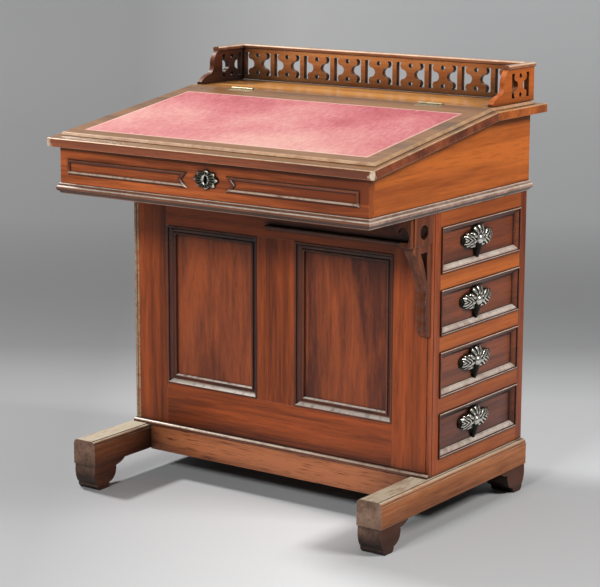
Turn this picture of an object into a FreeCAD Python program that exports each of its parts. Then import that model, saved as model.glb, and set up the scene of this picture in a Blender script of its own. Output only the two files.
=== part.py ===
import FreeCAD, Part
import os
import re
import Sketcher

# Davenport desk: a sloping writing box on a pedestal with four side drawers.
# Millimetres. +X is the drawer side, +Y the back, +Z up.
# The origin is on the floor, under the middle of the desk's top.

document = FreeCAD.newDocument("davenport_desk")
Vector = FreeCAD.Vector
Rotation = FreeCAD.Rotation

# ---------------------------------------------------------------- driving sizes

DIMENSIONS = {
    # whole desk
    "top_width": 760,
    "top_depth": 623.2,
    "box_height": 176.6,
    # sloping lid and the fixed ledge behind it
    "lid_slope": 8.2,
    "ledge_depth": 190.6,
    "edge_thickness": 17,
    "field_raise": 5.8,
    "edge_margin": 26,
    "side_margin": 13,
    "edge_round": 3,
    "seam_gap": 0.5,
    "overhang_side": 19.5,
    "overhang_front": 17.5,
    "overhang_back": 32.4,
    "leather_side_margin": 50,
    "leather_front_margin": 58,
    "leather_rear_margin": 52,
    "leather_thickness": 1.6,
    # writing box
    "box_board": 18,
    "box_back_board": 15,
    "box_floor": 12,
    "base_moulding_height": 20,
    "base_moulding_projection": 7,
    "bead_width": 7,
    "bead_height": 3.5,
    "bead_above": 10,
    "bead_below": 20,
    "bead_end": 341,
    "bead_inner": 45,
    "bead_notch": 59,
    # pedestal frame
    "pedestal_width": 719,
    "pedestal_depth": 351.5,
    "knee_depth": 217.2,
    "frame_thickness": 24,
    "back_thickness": 12,
    "back_panel_thickness": 6,
    "back_panel_recess": 4,
    "post_width": 85.5,
    "muntin_width": 90,
    "rail_top_width": 85,
    "rail_bottom_width": 93,
    "panel_thickness": 8,
    "panel_recess": 11,
    "panel_play": 1,
    "groove_depth": 8,
    "corner_post_depth": 30,
    "rear_post_depth": 23.5,
    "side_rail_thickness": 24,
    "bead_quirk": 1.5,
    "bead_set": 7,
    "moulding_width": 20,
    "pedestal_floor": 8,
    # sledge runners and feet
    "runner_width": 55,
    "runner_height": 51.4,
    "runner_front": 182.5,
    "runner_back": 1,
    "runner_outset": 12.1,
    "thumbnail": 8,
    "thumbnail_quirk": 1.5,
    "foot_height": 53,
    "foot_length": 97,
    "foot_inset": 2,
    "apron_thickness": 20,
    "apron_proud": 4,
    "apron_lap": 2.3,
    "apron_round": 3,
    "base_bead_height": 7.6,
    "base_bead_depth": 8,
    # drawers
    "drawer_count": 4,
    "drawer_height": 90,
    "drawer_rail": 29.6,
    "front_gap": 1,
    "front_thickness": 20,
    "field_recess": 8,
    "frame_width": 14,
    "frame_proud": 3.5,
    "drawer_length": 600,
    "drawer_side": 10,
    "drawer_bottom": 6,
    "bottom_lift": 8,
    "side_drop": 12,
    "running_gap": 0.3,
    "guide_gap": 1,
    "runner_bar_width": 26,
    "runner_bar_height": 12,
    "guide_height": 16,
    # carved pulls
    "pull_length": 120,
    "pull_crown": 25.5,
    "pull_drop": 32.3,
    "pull_reach": 22,
    "pull_wall": 3.4,
    "pull_plate": 3.4,
    "pull_lift": 3,
    "berry_radius": 9,
    "berry_length": 12,
    "tongue_width": 19,
    # gallery
    "gallery_height": 75,
    "gallery_board": 11,
    "gallery_inset": 22,
    "gallery_back_set": 16,
    "cap_height": 9,
    "cap_overhang": 2.5,
    "fret_pitch": 77.5,
    "fret_bottom": 10,
    "fret_height": 48,
    "fret_edge": 33.5,
    "fret_shoulder": 21,
    "fret_knob": 24.5,
    "fret_knob_rise": 16.5,
    "fret_cusp": 19,
    "fret_cusp_rise": 9.5,
    "fret_waist": 9.5,
    "fret_hole_radius": 4.8,
    "fret_hole_rise": 18.5,
    "side_fret_set": 54,
    "wing_top": 102,
    "wing_waist": 117,
    "wing_foot": 160,
    # hinges
    "hinge_place": 228,
    "hinge_length": 54,
    "hinge_leaf": 20,
    "leaf_thickness": 1.6,
    "knuckle_radius": 3,
    "pin_radius": 1.4,
    "pin_clearance": 0.05,
    "knuckle_clearance": 0.6,
    # lock
    "lock_width": 62,
    "lock_height": 44,
    "lock_depth": 14,
    "bolt_width": 22,
    "bolt_depth": 6,
    "bolt_length": 34,
    "bolt_gap": 0.4,
    "bolt_play": 2.5,
    "strike_thickness": 1.6,
    "strike_width": 50,
    "strike_depth": 20,
    "mortise_depth": 13,
    "escutcheon_width": 58,
    "escutcheon_height": 36,
    "escutcheon_thickness": 2.4,
    "keyhole_radius": 4,
    "keyhole_drop": 36,
    # bracket and frieze strip
    "bracket_thickness": 24.5,
    "bracket_reach": 73,
    "bracket_drop": 232,
    "spandrel_width": 47,
    "spandrel_thickness": 10,
    "spandrel_height": 55,
    "block_proud": 2.5,
    "block_skin": 8.5,
    "eye_radius": 14,
    "strip_drop": 66,
    "strip_height": 7.5,
    "strip_reach": 12,
    "strip_start": 20,
    # fitted nest inside the box
    "nest_set": 14,
    "nest_board": 8,
    "nest_drawer_height": 50,
    "nest_drawer_width": 205,
    "nest_drawer_wall": 6,
    "nest_gap": 0.5,
    "knob_radius": 7,
    "knob_reach": 15,
}

# Places worked out from the sizes above. Y and Z are absolute, X is a half width.
LAYOUT = {
    "top_back": "top_depth / 2",
    "top_front": "-top_depth / 2",
    "seam_y": "top_back - ledge_depth",
    "slab": "edge_thickness + field_raise",
    "lid_nose": "(field_raise + edge_round) * sin(lid_slope)",
    "lid_length": "(seam_y - top_front + lid_nose) / cos(lid_slope)",
    "box_half": "top_width / 2 - overhang_side",
    "box_front_y": "top_front + overhang_front",
    "box_back_y": "top_back - overhang_back",
    "runner_top": "foot_height + runner_height",
    "ped_half": "pedestal_width / 2",
    "ped_front": "box_front_y + knee_depth",
    "ped_back": "ped_front + pedestal_depth",
    "drawer_pitch": "drawer_height + drawer_rail",
    "box_z": "runner_top + drawer_count * drawer_pitch + drawer_rail",
    "top_z": "box_z + box_height",
    "lid_under": "top_z - slab / cos(lid_slope)",
    "frame_back": "ped_front + frame_thickness",
    "groove_front": "ped_front + panel_recess",
    "groove_back": "groove_front + panel_thickness",
    "opening_half": "ped_half - post_width",
    "opening_low": "runner_top + rail_bottom_width",
    "opening_high": "box_z - rail_top_width",
    "side_inner": "ped_half - side_rail_thickness",
    "bay_front": "ped_front + corner_post_depth",
    "bay_back": "ped_back - rear_post_depth",
    "back_frame_y": "ped_back - back_thickness",
    "drawer_face": "ped_half - field_recess",
    "drawer_back_face": "drawer_face - front_thickness",
    "runner_in": "ped_half + runner_outset - runner_width",
    "well_floor": "box_z + box_floor",
    "well_half": "box_half - box_board",
    "well_back": "box_back_y - box_back_board",
    "nest_front": "seam_y + nest_set",
    "gallery_y": "top_back - gallery_back_set",
    "gallery_half": "top_width / 2 - gallery_inset",
    "cap_z": "top_z + gallery_height - cap_height",
    "fret_count": "round(2 * (gallery_half - gallery_board) / fret_pitch)",
    "fret_low": "top_z + fret_bottom",
    "fret_mid": "fret_low + fret_height / 2",
    "lock_front": "box_front_y + box_board",
    "lock_top": "lid_under - (seam_y - lock_front) * tan(lid_slope)",
    "front_top": "lid_under - (seam_y - box_front_y) * tan(lid_slope)",
    "lock_high": "lock_top - lock_depth * tan(lid_slope) - bolt_gap",
    "bolt_y": "lock_front - lock_depth / 2",
    "strike_y": "-(seam_y - bolt_y + slab * sin(lid_slope)) / cos(lid_slope)",
    "key_z": "lock_high - keyhole_drop",
    "knuckle_third": "hinge_length / 3",
}


def write_sheet(name, cells):
    """Fill one sheet with aliased cells, one row each."""
    sheet = document.addObject("Spreadsheet::Sheet", name)
    for row, (alias, content) in enumerate(cells.items(), start=1):
        sheet.set("A%d" % row, alias)
        sheet.set("B%d" % row, str(content))
        sheet.setAlias("B%d" % row, alias)
    document.recompute()
    return sheet


def with_sheet_names(text, own_sheet=None):
    """Put the sheet's name before each alias used in an expression."""
    def full_name(match):
        word = match.group(0)
        if word in DIMENSIONS:
            return "dims." + word
        if word in LAYOUT and own_sheet != "layout":
            return "layout." + word
        return word
    return re.sub(r"[a-z_]+", full_name, str(text))


dims = write_sheet("dims", DIMENSIONS)
layout = write_sheet("layout", {
    alias: "=" + with_sheet_names(formula, "layout") for alias, formula in LAYOUT.items()
})


def value(text):
    """The number that an expression has now."""
    number = dims.evalExpression(with_sheet_names(text))
    return float(getattr(number, "Value", number))


def bind(thing, target, text):
    """Tie one property of an object to the sheets."""
    thing.setExpression(target, with_sheet_names(text))


# ---------------------------------------------------------------- modelling helpers

TURNS = {
    # A flat pattern drawn in XY and rising in Z, turned to face one way.
    "up": Rotation(),
    "front": Rotation(Vector(1, 0, 0), Vector(0, 0, 1), Vector(0, -1, 0), "XYZ"),
    "back": Rotation(Vector(-1, 0, 0), Vector(0, 0, 1), Vector(0, 1, 0), "XYZ"),
    "right": Rotation(Vector(0, 1, 0), Vector(0, 0, 1), Vector(1, 0, 0), "XYZ"),
    "left": Rotation(Vector(0, -1, 0), Vector(0, 0, 1), Vector(-1, 0, 0), "XYZ"),
}
ALONG_X = Rotation(Vector(0, 1, 0), 90)


def place(thing, x=0, y=0, z=0, turn=None):
    """Put an object at a bound place, turned to face one way."""
    if turn is not None:
        thing.Placement = FreeCAD.Placement(Vector(), turn)
    for letter, text in zip("xyz", (x, y, z)):
        bind(thing, "Placement.Base." + letter, text)
    return thing


def named(kind, label):
    thing = document.addObject(kind, label)
    thing.Label = label
    return thing


def board(label, x, y, z):
    """A plain board between two places along each axis."""
    box = named("Part::Box", label)
    for size, (low, high) in zip(("Length", "Width", "Height"), (x, y, z)):
        bind(box, size, "(%s) - (%s)" % (high, low))
    return place(box, x[0], y[0], z[0])


def group(label, pieces):
    """Several separate solids that share one node."""
    compound = named("Part::Compound", label)
    compound.Links = pieces
    return compound


def cut(label, base, tools):
    """A piece with other shapes taken out of it."""
    if len(tools) > 1:
        joined = named("Part::MultiFuse", label + "_waste")
        joined.Shapes = tools
        tools = [joined]
    result = named("Part::Cut", label)
    result.Base = base
    result.Tool = tools[0]
    return result


def fuse(label, pieces):
    """Several shapes that are one solid."""
    result = named("Part::MultiFuse", label)
    result.Shapes = pieces
    return result


def mirrored(label, source):
    """The same piece on the other side of the desk's middle."""
    result = named("Part::Mirroring", label)
    result.Source = source
    result.Normal = Vector(1, 0, 0)
    return result


def new_body(label):
    return named("PartDesign::Body", label)


def origin_plane(body, role):
    return [plane for plane in body.Origin.OriginFeatures if plane.Role == role][0]


def new_sketch(body, role):
    sketch = body.newObject("Sketcher::SketchObject", body.Label + "_sketch")
    sketch.AttachmentSupport = [(origin_plane(body, role), "")]
    sketch.MapMode = "FlatFace"
    return sketch


def pin_point(sketch, edge, end, point):
    """Hold one end of an edge at a bound place."""
    for kind, text in zip(("DistanceX", "DistanceY"), point):
        index = sketch.addConstraint(
            Sketcher.Constraint(kind, -1, 1, edge, end, value(text)))
        sketch.setExpression("Constraints[%d]" % index, with_sheet_names(text))


def as_vector(point):
    return Vector(value(point[0]), value(point[1]), 0)


def end_at(sketch, edge, point):
    """Which end of an edge lies at a point: 1 is its start, 2 its end."""
    start = sketch.Geometry[edge].StartPoint
    return 1 if start.distanceToPoint(as_vector(point)) < 1e-6 else 2


def arc_through(first, middle, last):
    """An arc by three points, made anticlockwise as sketches keep them."""
    start, crown, end = as_vector(first), as_vector(middle), as_vector(last)
    if (crown - start).cross(end - crown).z < 0:
        start, end = end, start
    return Part.Arc(start, crown, end)


def draw(sketch, outline, closed=True):
    """Draw an outline. A point with "via" first is passed by an arc."""
    edges = []
    for index, point in enumerate(outline):
        if point[0] == "via":
            continue
        following = outline[(index + 1) % len(outline)]
        if index == len(outline) - 1 and not closed:
            break
        if following[0] == "via":
            far = outline[(index + 2) % len(outline)]
            edge = sketch.addGeometry(arc_through(point, following[1:], far), False)
            crown = sketch.addGeometry(Part.Point(as_vector(following[1:])), True)
            pin_point(sketch, crown, 1, following[1:])
            sketch.addConstraint(Sketcher.Constraint("PointOnObject", crown, 1, edge))
            edges.append((edge, point, far))
        else:
            line = Part.LineSegment(as_vector(point), as_vector(following))
            edges.append((sketch.addGeometry(line, False), point, following))
    for (first, start, end), (second, _, _) in zip(edges, edges[1:] + edges[:1]):
        pin_point(sketch, first, end_at(sketch, first, start), start)
        if closed or second != edges[0][0]:
            sketch.addConstraint(Sketcher.Constraint(
                "Coincident", first, end_at(sketch, first, end),
                second, end_at(sketch, second, end)))
        else:
            pin_point(sketch, first, end_at(sketch, first, end), end)


def draw_circle(sketch, centre, radius):
    circle = Part.Circle(as_vector(centre), Vector(0, 0, 1), value(radius))
    edge = sketch.addGeometry(circle, False)
    pin_point(sketch, edge, 3, centre)
    index = sketch.addConstraint(Sketcher.Constraint("Radius", edge, value(radius)))
    sketch.setExpression("Constraints[%d]" % index, with_sheet_names(radius))


def shares(profile, across, up):
    """An outline given as shares of two sizes."""
    return [
        point[:-2] + ("%g * %s" % (point[-2], across), "%g * %s" % (point[-1], up))
        for point in profile
    ]


def outline_sketch(body, role, *outlines):
    sketch = new_sketch(body, role)
    for outline in outlines:
        draw(sketch, outline)
    return sketch


def pad(body, sketch, length, backwards=False, both_ways=False):
    feature = body.newObject("PartDesign::Pad", body.Label + "_pad")
    feature.Profile = sketch
    feature.Reversed = backwards
    if both_ways:
        feature.SideType = "Symmetric"
    bind(feature, "Length", length)
    return feature


def pocket(body, sketch, depth, backwards=False, both_ways=False):
    feature = body.newObject("PartDesign::Pocket", body.Label + "_pocket")
    feature.Profile = sketch
    feature.Reversed = backwards
    if both_ways:
        feature.SideType = "Symmetric"
    bind(feature, "Length", depth)
    return feature


def dress(body, kind, size, wanted):
    """Round or bevel the edges that a test picks."""
    document.recompute()
    base = body.Tip
    names = [
        "Edge%d" % number
        for number, edge in enumerate(base.Shape.Edges, start=1) if wanted(edge.BoundBox)
    ]
    feature = body.newObject("PartDesign::" + kind, body.Label + "_" + kind.lower())
    feature.Base = (base, names)
    bind(feature, "Radius" if kind == "Fillet" else "Size", size)
    return feature


def near(first, second, tolerance=0.01):
    return abs(first - second) < tolerance


def swept(label, path, section, role="XZ_Plane", closed=True):
    """A moulding run along a path in XY, mitred at its corners."""
    body = new_body(label)
    spine = new_sketch(body, "XY_Plane")
    draw(spine, path, closed)
    profile = outline_sketch(body, role, section)
    document.recompute()
    pipe = body.newObject("PartDesign::AdditivePipe", label + "_pipe")
    pipe.Profile = profile
    edge_count = len(path) if closed else len(path) - 1
    pipe.Spine = (spine, ["Edge%d" % number for number in range(1, edge_count + 1)])
    pipe.Transition = "Right corner"
    return body


def frame_ring(label, half_wide, half_tall, section):
    """A mitred rectangular moulding; the section is (distance in, height)."""
    path = [
        (half_wide, "-(%s)" % half_tall), (half_wide, half_tall),
        ("-(%s)" % half_wide, half_tall), ("-(%s)" % half_wide, "-(%s)" % half_tall),
    ]
    turned = []
    for point in section:
        lead = point[:-2]
        turned.append(lead + ("%s - (%s)" % (half_wide, point[-2]), point[-1]))
    return swept(label, path, turned)


# ---------------------------------------------------------------- runners and feet

def make_runner(side_name, side):
    """One sledge runner, with a thumbnail moulding along its top arrises."""
    body = new_body("runner_" + side_name)
    half = "runner_width / 2"
    outline = []
    for sign in ("", "-"):
        outline += [
            (sign + "(%s)" % half, "0"),
            (sign + "(%s)" % half, "runner_height - thumbnail"),
            (sign + "(%s - thumbnail_quirk)" % half, "runner_height - thumbnail"),
            ("via", sign + "(%s - thumbnail / 3)" % half, "runner_height - thumbnail / 3"),
            (sign + "(%s - thumbnail)" % half, "runner_height - thumbnail_quirk"),
            (sign + "(%s - thumbnail)" % half, "runner_height"),
        ]
    outline = outline[:6] + outline[:5:-1]
    length = "runner_front + pedestal_depth + runner_back"
    pad(body, outline_sketch(body, "XZ_Plane", outline), length, backwards=True)
    centre = "%d * (runner_in + %s)" % (side, half)
    return place(body, centre, "ped_front - runner_front", "foot_height")


def make_foot(label, side, facing):
    """A scrolled bracket foot under one end of a runner."""
    body = new_body(label)
    profile = [
        (0.015, 1), (0.015, 0.89), ("via", 0.026, 0.5), (0.078, 0.27), (0.105, 0.25),
        (0.105, 0.13), (0.16, 0), (0.43, 0), (0.474, 0.13), (0.474, 0.2), ("via", 0.63, 0.33),
        (0.70, 0.6), ("via", 0.711, 0.7), (0.70, 0.77), (0.742, 0.79),
        ("via", 0.897, 0.87), (1, 1),
    ]
    outline = shares(profile, "foot_length", "foot_height")
    width = "runner_width - 2 * foot_inset"
    pad(body, outline_sketch(body, "YZ_Plane", outline), width, both_ways=True)
    centre = "%d * (runner_in + runner_width / 2)" % side
    if facing == "front":
        return place(body, centre, "ped_front - runner_front", "0")
    half_turn = Rotation(Vector(0, 0, 1), 180)
    return place(body, centre, "ped_back + runner_back", "0", half_turn)


def make_apron():
    """The front apron between the runners, its top edge rounded."""
    body = new_body("apron_front")
    face = "ped_front - apron_proud"
    outline = [
        (face, "foot_height - apron_lap"),
        (face + " + apron_thickness", "foot_height - apron_lap"),
        (face + " + apron_thickness", "runner_top"),
        (face + " + apron_round", "runner_top"),
        ("via", face + " + apron_round * 0.3", "runner_top - apron_round * 0.3"),
        (face, "runner_top - apron_round"),
    ]
    pad(body, outline_sketch(body, "YZ_Plane", outline), "2 * runner_in", both_ways=True)
    return body


def make_base_bead():
    """The quarter round that hides the joint at the foot of the front frame."""
    body = new_body("base_bead")
    outline = [
        ("ped_front - base_bead_depth", "runner_top"),
        ("ped_front", "runner_top"),
        ("ped_front", "runner_top + base_bead_height"),
        ("ped_front - base_bead_depth * 0.25", "runner_top + base_bead_height"),
        ("via", "ped_front - base_bead_depth * 0.75", "runner_top + base_bead_height * 0.8"),
        ("ped_front - base_bead_depth", "runner_top + base_bead_height * 0.2"),
    ]
    pad(body, outline_sketch(body, "YZ_Plane", outline), "pedestal_width", both_ways=True)
    return body


def make_stand():
    nodes = [make_runner("left", -1), make_runner("right", 1)]
    for facing in ("front", "rear"):
        feet = [
            make_foot("foot_%s_%s" % (facing, name), side, facing)
            for name, side in (("left", -1), ("right", 1))
        ]
        nodes.append(group(facing + "_feet", feet))
    nodes.append(make_apron())
    nodes.append(make_base_bead())
    nodes.append(board(
        "stretcher_rear", ("-runner_in", "runner_in"),
        ("ped_back - apron_thickness", "ped_back"), ("foot_height", "runner_top")))
    return nodes


# ---------------------------------------------------------------- pedestal frame

def make_front_post(side_name, side):
    """A corner post, grooved for the panel and beaded down its outer arris."""
    body = new_body("post_front_" + side_name)
    plain = [
        ("opening_half", "ped_front"),
        ("ped_half - bead_set - bead_quirk", "ped_front"),
        ("ped_half - bead_set - bead_quirk", "ped_front + bead_quirk"),
        ("ped_half - bead_set", "ped_front + bead_quirk"),
        ("ped_half - bead_set", "ped_front"),
        ("ped_half - 2", "ped_front"),
        ("ped_half", "ped_front + 2"),
        ("ped_half", "ped_front + bead_set"),
        ("ped_half - bead_quirk", "ped_front + bead_set"),
        ("ped_half - bead_quirk", "ped_front + bead_set + bead_quirk"),
        ("ped_half", "ped_front + bead_set + bead_quirk"),
        ("ped_half", "bay_front"),
        ("side_inner", "bay_front"),
        ("side_inner", "frame_back"),
        ("opening_half", "frame_back"),
        ("opening_half", "groove_back"),
        ("opening_half + groove_depth", "groove_back"),
        ("opening_half + groove_depth", "groove_front"),
        ("opening_half", "groove_front"),
    ]
    outline = [("%d * (%s)" % (side, x), y) for x, y in plain]
    pad(body, outline_sketch(body, "XY_Plane", outline), "box_z - runner_top")
    return place(body, z="runner_top")


def make_front_rail(label, low, high, groove_at_top):
    """A rail between the posts, with a groove for the panels and stub tenons."""
    body = new_body(label)
    edge = high if groove_at_top else low
    floor_of_groove = "%s %s groove_depth" % (edge, "-" if groove_at_top else "+")
    outline = [
        ("groove_back", edge), ("groove_back", floor_of_groove),
        ("groove_front", floor_of_groove), ("groove_front", edge), ("ped_front", edge),
        ("ped_front", low if groove_at_top else high),
        ("frame_back", low if groove_at_top else high), ("frame_back", edge),
    ]
    pad(body, outline_sketch(body, "YZ_Plane", outline), "2 * opening_half", both_ways=True)
    other = low if groove_at_top else high
    tongue = [
        ("groove_front", other), ("groove_back", other),
        ("groove_back", floor_of_groove), ("groove_front", floor_of_groove),
    ]
    length = "2 * (opening_half + groove_depth)"
    pad(body, outline_sketch(body, "YZ_Plane", tongue), length, both_ways=True)
    return body


def make_muntin():
    """The middle upright, grooved on both edges and tenoned into the rails."""
    body = new_body("front_muntin")
    half = "muntin_width / 2"
    right = [
        (half, "ped_front"), (half, "groove_front"),
        (half + " - groove_depth", "groove_front"),
        (half + " - groove_depth", "groove_back"),
        (half, "groove_back"), (half, "frame_back"),
    ]
    left = [("-(%s)" % x, y) for x, y in reversed(right)]
    height = "opening_high - opening_low"
    pad(body, outline_sketch(body, "XY_Plane", right + left), height)
    tongue = [
        ("-(%s - groove_depth)" % half, "groove_front"),
        (half + " - groove_depth", "groove_front"),
        (half + " - groove_depth", "groove_back"),
        ("-(%s - groove_depth)" % half, "groove_back"),
    ]
    for end, backwards in (("opening_high", False), ("opening_low", True)):
        sketch = outline_sketch(body, "XY_Plane", tongue)
        bind(sketch, "AttachmentOffset.Base.z", end + " - opening_low")
        pad(body, sketch, "groove_depth", backwards)
    return place(body, z="opening_low")


PANEL_SIDES = (("left", -1), ("right", 1))


def panel_board(label, side, y_low, y_high):
    """One flat panel, loose in its grooves."""
    inner = "muntin_width / 2 - groove_depth + panel_play"
    outer = "opening_half + groove_depth - panel_play"
    x = (inner, outer) if side > 0 else ("-(%s)" % outer, "-(%s)" % inner)
    z = ("opening_low - groove_depth + panel_play", "opening_high + groove_depth - panel_play")
    return board(label, x, (y_low, y_high), z)


def make_panel_moulding(label, side):
    """The mitred moulding planted round a front panel."""
    section = shares([
        (0, 0), (0, 1), ("via", 0.08, 1.14), (0.25, 0.91), (0.25, 0.73), ("via", 0.4, 0.41),
        (0.7, 0.27), (0.73, 0.45), ("via", 0.85, 0.51), (0.95, 0.27), (1, 0),
    ], "moulding_width", "panel_recess")
    half_wide = "(opening_half - muntin_width / 2) / 2"
    half_tall = "(opening_high - opening_low) / 2"
    ring = frame_ring(label, half_wide, half_tall, section)
    centre_x = "%d * (opening_half + muntin_width / 2) / 2" % side
    centre_z = "(opening_high + opening_low) / 2"
    return place(ring, centre_x, "groove_front", centre_z, TURNS["front"])


def make_back():
    """The framed back between the rear posts."""
    y = ("back_frame_y", "ped_back")
    rails = [
        board("back_rail_low", ("-side_inner", "side_inner"), y, ("runner_top", "opening_low")),
        board("back_rail_high", ("-side_inner", "side_inner"), y, ("opening_high", "box_z")),
    ]
    for name, low, high in (
            ("back_stile_left", "-side_inner", "-opening_half"),
            ("back_muntin", "-muntin_width / 2", "muntin_width / 2"),
            ("back_stile_right", "opening_half", "side_inner")):
        rails.append(board(name, (low, high), y, ("opening_low", "opening_high")))
    panels = []
    for name, side in PANEL_SIDES:
        x = ("muntin_width / 2", "opening_half")
        if side < 0:
            x = ("-opening_half", "-muntin_width / 2")
        face = "ped_back - back_panel_recess"
        panels.append(board(
            "back_panel_" + name, x, (face + " - back_panel_thickness", face),
            ("opening_low", "opening_high")))
    return [group("back_frame", rails), group("back_panels", panels)]


def rail_heights():
    """The low and high edge of each rail between the drawers."""
    heights = [("runner_top", "runner_top + drawer_rail")]
    for number in range(1, int(value("drawer_count")) + 1):
        low = "runner_top + %d * drawer_pitch" % number
        heights.append((low, low + " + drawer_rail"))
    return heights


def make_side_rails():
    """The rails that part the drawers, and those that match them on the left."""
    rails = []
    for name, x in (("right", ("side_inner", "ped_half")), ("left", ("-ped_half", "-side_inner"))):
        for number, z in enumerate(rail_heights(), start=1):
            rails.append(board("rail_%s_%d" % (name, number), x, ("bay_front", "bay_back"), z))
    return group("side_rails", rails)


def make_pedestal():
    nodes = [make_front_post("left", -1), make_front_post("right", 1)]
    rear_posts = [
        board("post_rear_left", ("-ped_half", "-side_inner"), ("bay_back", "ped_back"),
              ("runner_top", "box_z")),
        board("post_rear_right", ("side_inner", "ped_half"), ("bay_back", "ped_back"),
              ("runner_top", "box_z")),
    ]
    nodes.append(group("rear_posts", rear_posts))
    nodes.append(group("front_rails", [
        make_front_rail("front_rail_low", "runner_top", "opening_low", True),
        make_front_rail("front_rail_high", "opening_high", "box_z", False),
    ]))
    nodes.append(make_muntin())
    nodes.append(group("front_panels", [
        panel_board("front_panel_" + name, side, "groove_front", "groove_back")
        for name, side in PANEL_SIDES
    ]))
    nodes.append(group("panel_mouldings", [
        make_panel_moulding("panel_moulding_" + name, side) for name, side in PANEL_SIDES
    ]))
    nodes += make_back()
    nodes.append(make_side_rails())
    nodes.append(board(
        "pedestal_floor_board", ("-side_inner", "side_inner"),
        ("frame_back", "back_frame_y"), ("runner_top", "runner_top + pedestal_floor")))
    return nodes


# ---------------------------------------------------------------- drawers

def drawer_low(number):
    """The floor of a drawer's opening; drawer 1 is the top one."""
    level = int(value("drawer_count")) - number
    return "(runner_top + drawer_rail + %d * drawer_pitch)" % level


def make_runner_bars():
    """L-shaped bars inside the pedestal that carry and guide the drawers."""
    bars = []
    for number in range(1, int(value("drawer_count")) + 1):
        floor = drawer_low(number)
        for name, wall, guide, inward in (
                ("front", "frame_back", "(bay_front + running_gap)", 1),
                ("rear", "back_frame_y", "(bay_back - running_gap)", -1)):
            body = new_body("runner_bar_%s_%d" % (name, number))
            edge = "%s + %d * runner_bar_width" % (guide, inward)
            outline = [
                (wall, floor + " - runner_bar_height"), (edge, floor + " - runner_bar_height"),
                (edge, floor), (guide, floor),
                (guide, floor + " + guide_height"), (wall, floor + " + guide_height"),
            ]
            sketch = outline_sketch(body, "YZ_Plane", outline)
            pad(body, sketch, "2 * side_inner", both_ways=True)
            bars.append(body)
    return group("drawer_runner_bars", bars)


def make_drawer_face(label):
    """A drawer front: a board with a moulding planted round its face."""
    half_wide = "((bay_back - bay_front) / 2 - front_gap)"
    half_tall = "(drawer_height / 2 - front_gap)"
    section = shares([
        (0, 0), (0, 0.87), ("via", 0.07, 0.97), (0.25, 0.91), (0.25, 0.7), (0.36, 0.7),
        ("via", 0.57, 0.57), (1, 0.13), (1, 0),
    ], "frame_width", "(field_recess + frame_proud)")
    ring = frame_ring(label + "_moulding", half_wide, half_tall, section)
    panel = board(
        label + "_board", ("-" + half_wide, half_wide), ("-" + half_tall, half_tall),
        ("-front_thickness", "0"))
    return group(label, [panel, ring])


def place_on_drawer(thing, number, side, rise="0"):
    """Set a piece on the field of one drawer front, on the right or left side."""
    centre = "%s + drawer_height / 2 + %s" % (drawer_low(number), rise)
    turn = TURNS["right" if side > 0 else "left"]
    x = "%d * drawer_face" % side
    return place(thing, x, "(bay_front + bay_back) / 2", centre, turn)


def make_drawer_box(number):
    """The drawer's own box: two sides, a back and a bottom."""
    floor = drawer_low(number)
    base = floor + " + running_gap"
    top = floor + " + drawer_height - side_drop"
    y_low = "bay_front + guide_gap"
    y_high = "bay_back - guide_gap"
    x = ("drawer_face - drawer_length", "drawer_back_face")
    inner_y = (y_low + " + drawer_side", y_high + " - drawer_side")
    name = "drawer_%d_" % number
    return group(name + "box", [
        board(name + "side_front", x, (y_low, y_low + " + drawer_side"), (base, top)),
        board(name + "side_rear", x, (y_high + " - drawer_side", y_high), (base, top)),
        board(name + "back", (x[0], x[0] + " + drawer_side"), inner_y,
              (base + " + bottom_lift", top)),
        board(name + "bottom", (x[0], x[1]), inner_y,
              (base + " + bottom_lift - drawer_bottom", base + " + bottom_lift")),
    ])


def four_ways(quarter):
    """Complete an outline from its first quarter, which runs from +X to +Y."""
    def flipped(points, x_sign, y_sign):
        return [
            point[:-2] + ("%s(%s)" % (x_sign, point[-2]), "%s(%s)" % (y_sign, point[-1]))
            for point in points
        ]
    outline = list(quarter)
    outline += flipped(reversed(quarter[:-1]), "-", "")
    outline += flipped(quarter[1:], "-", "-")
    outline += flipped(reversed(quarter[1:-1]), "", "-")
    return outline


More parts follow.
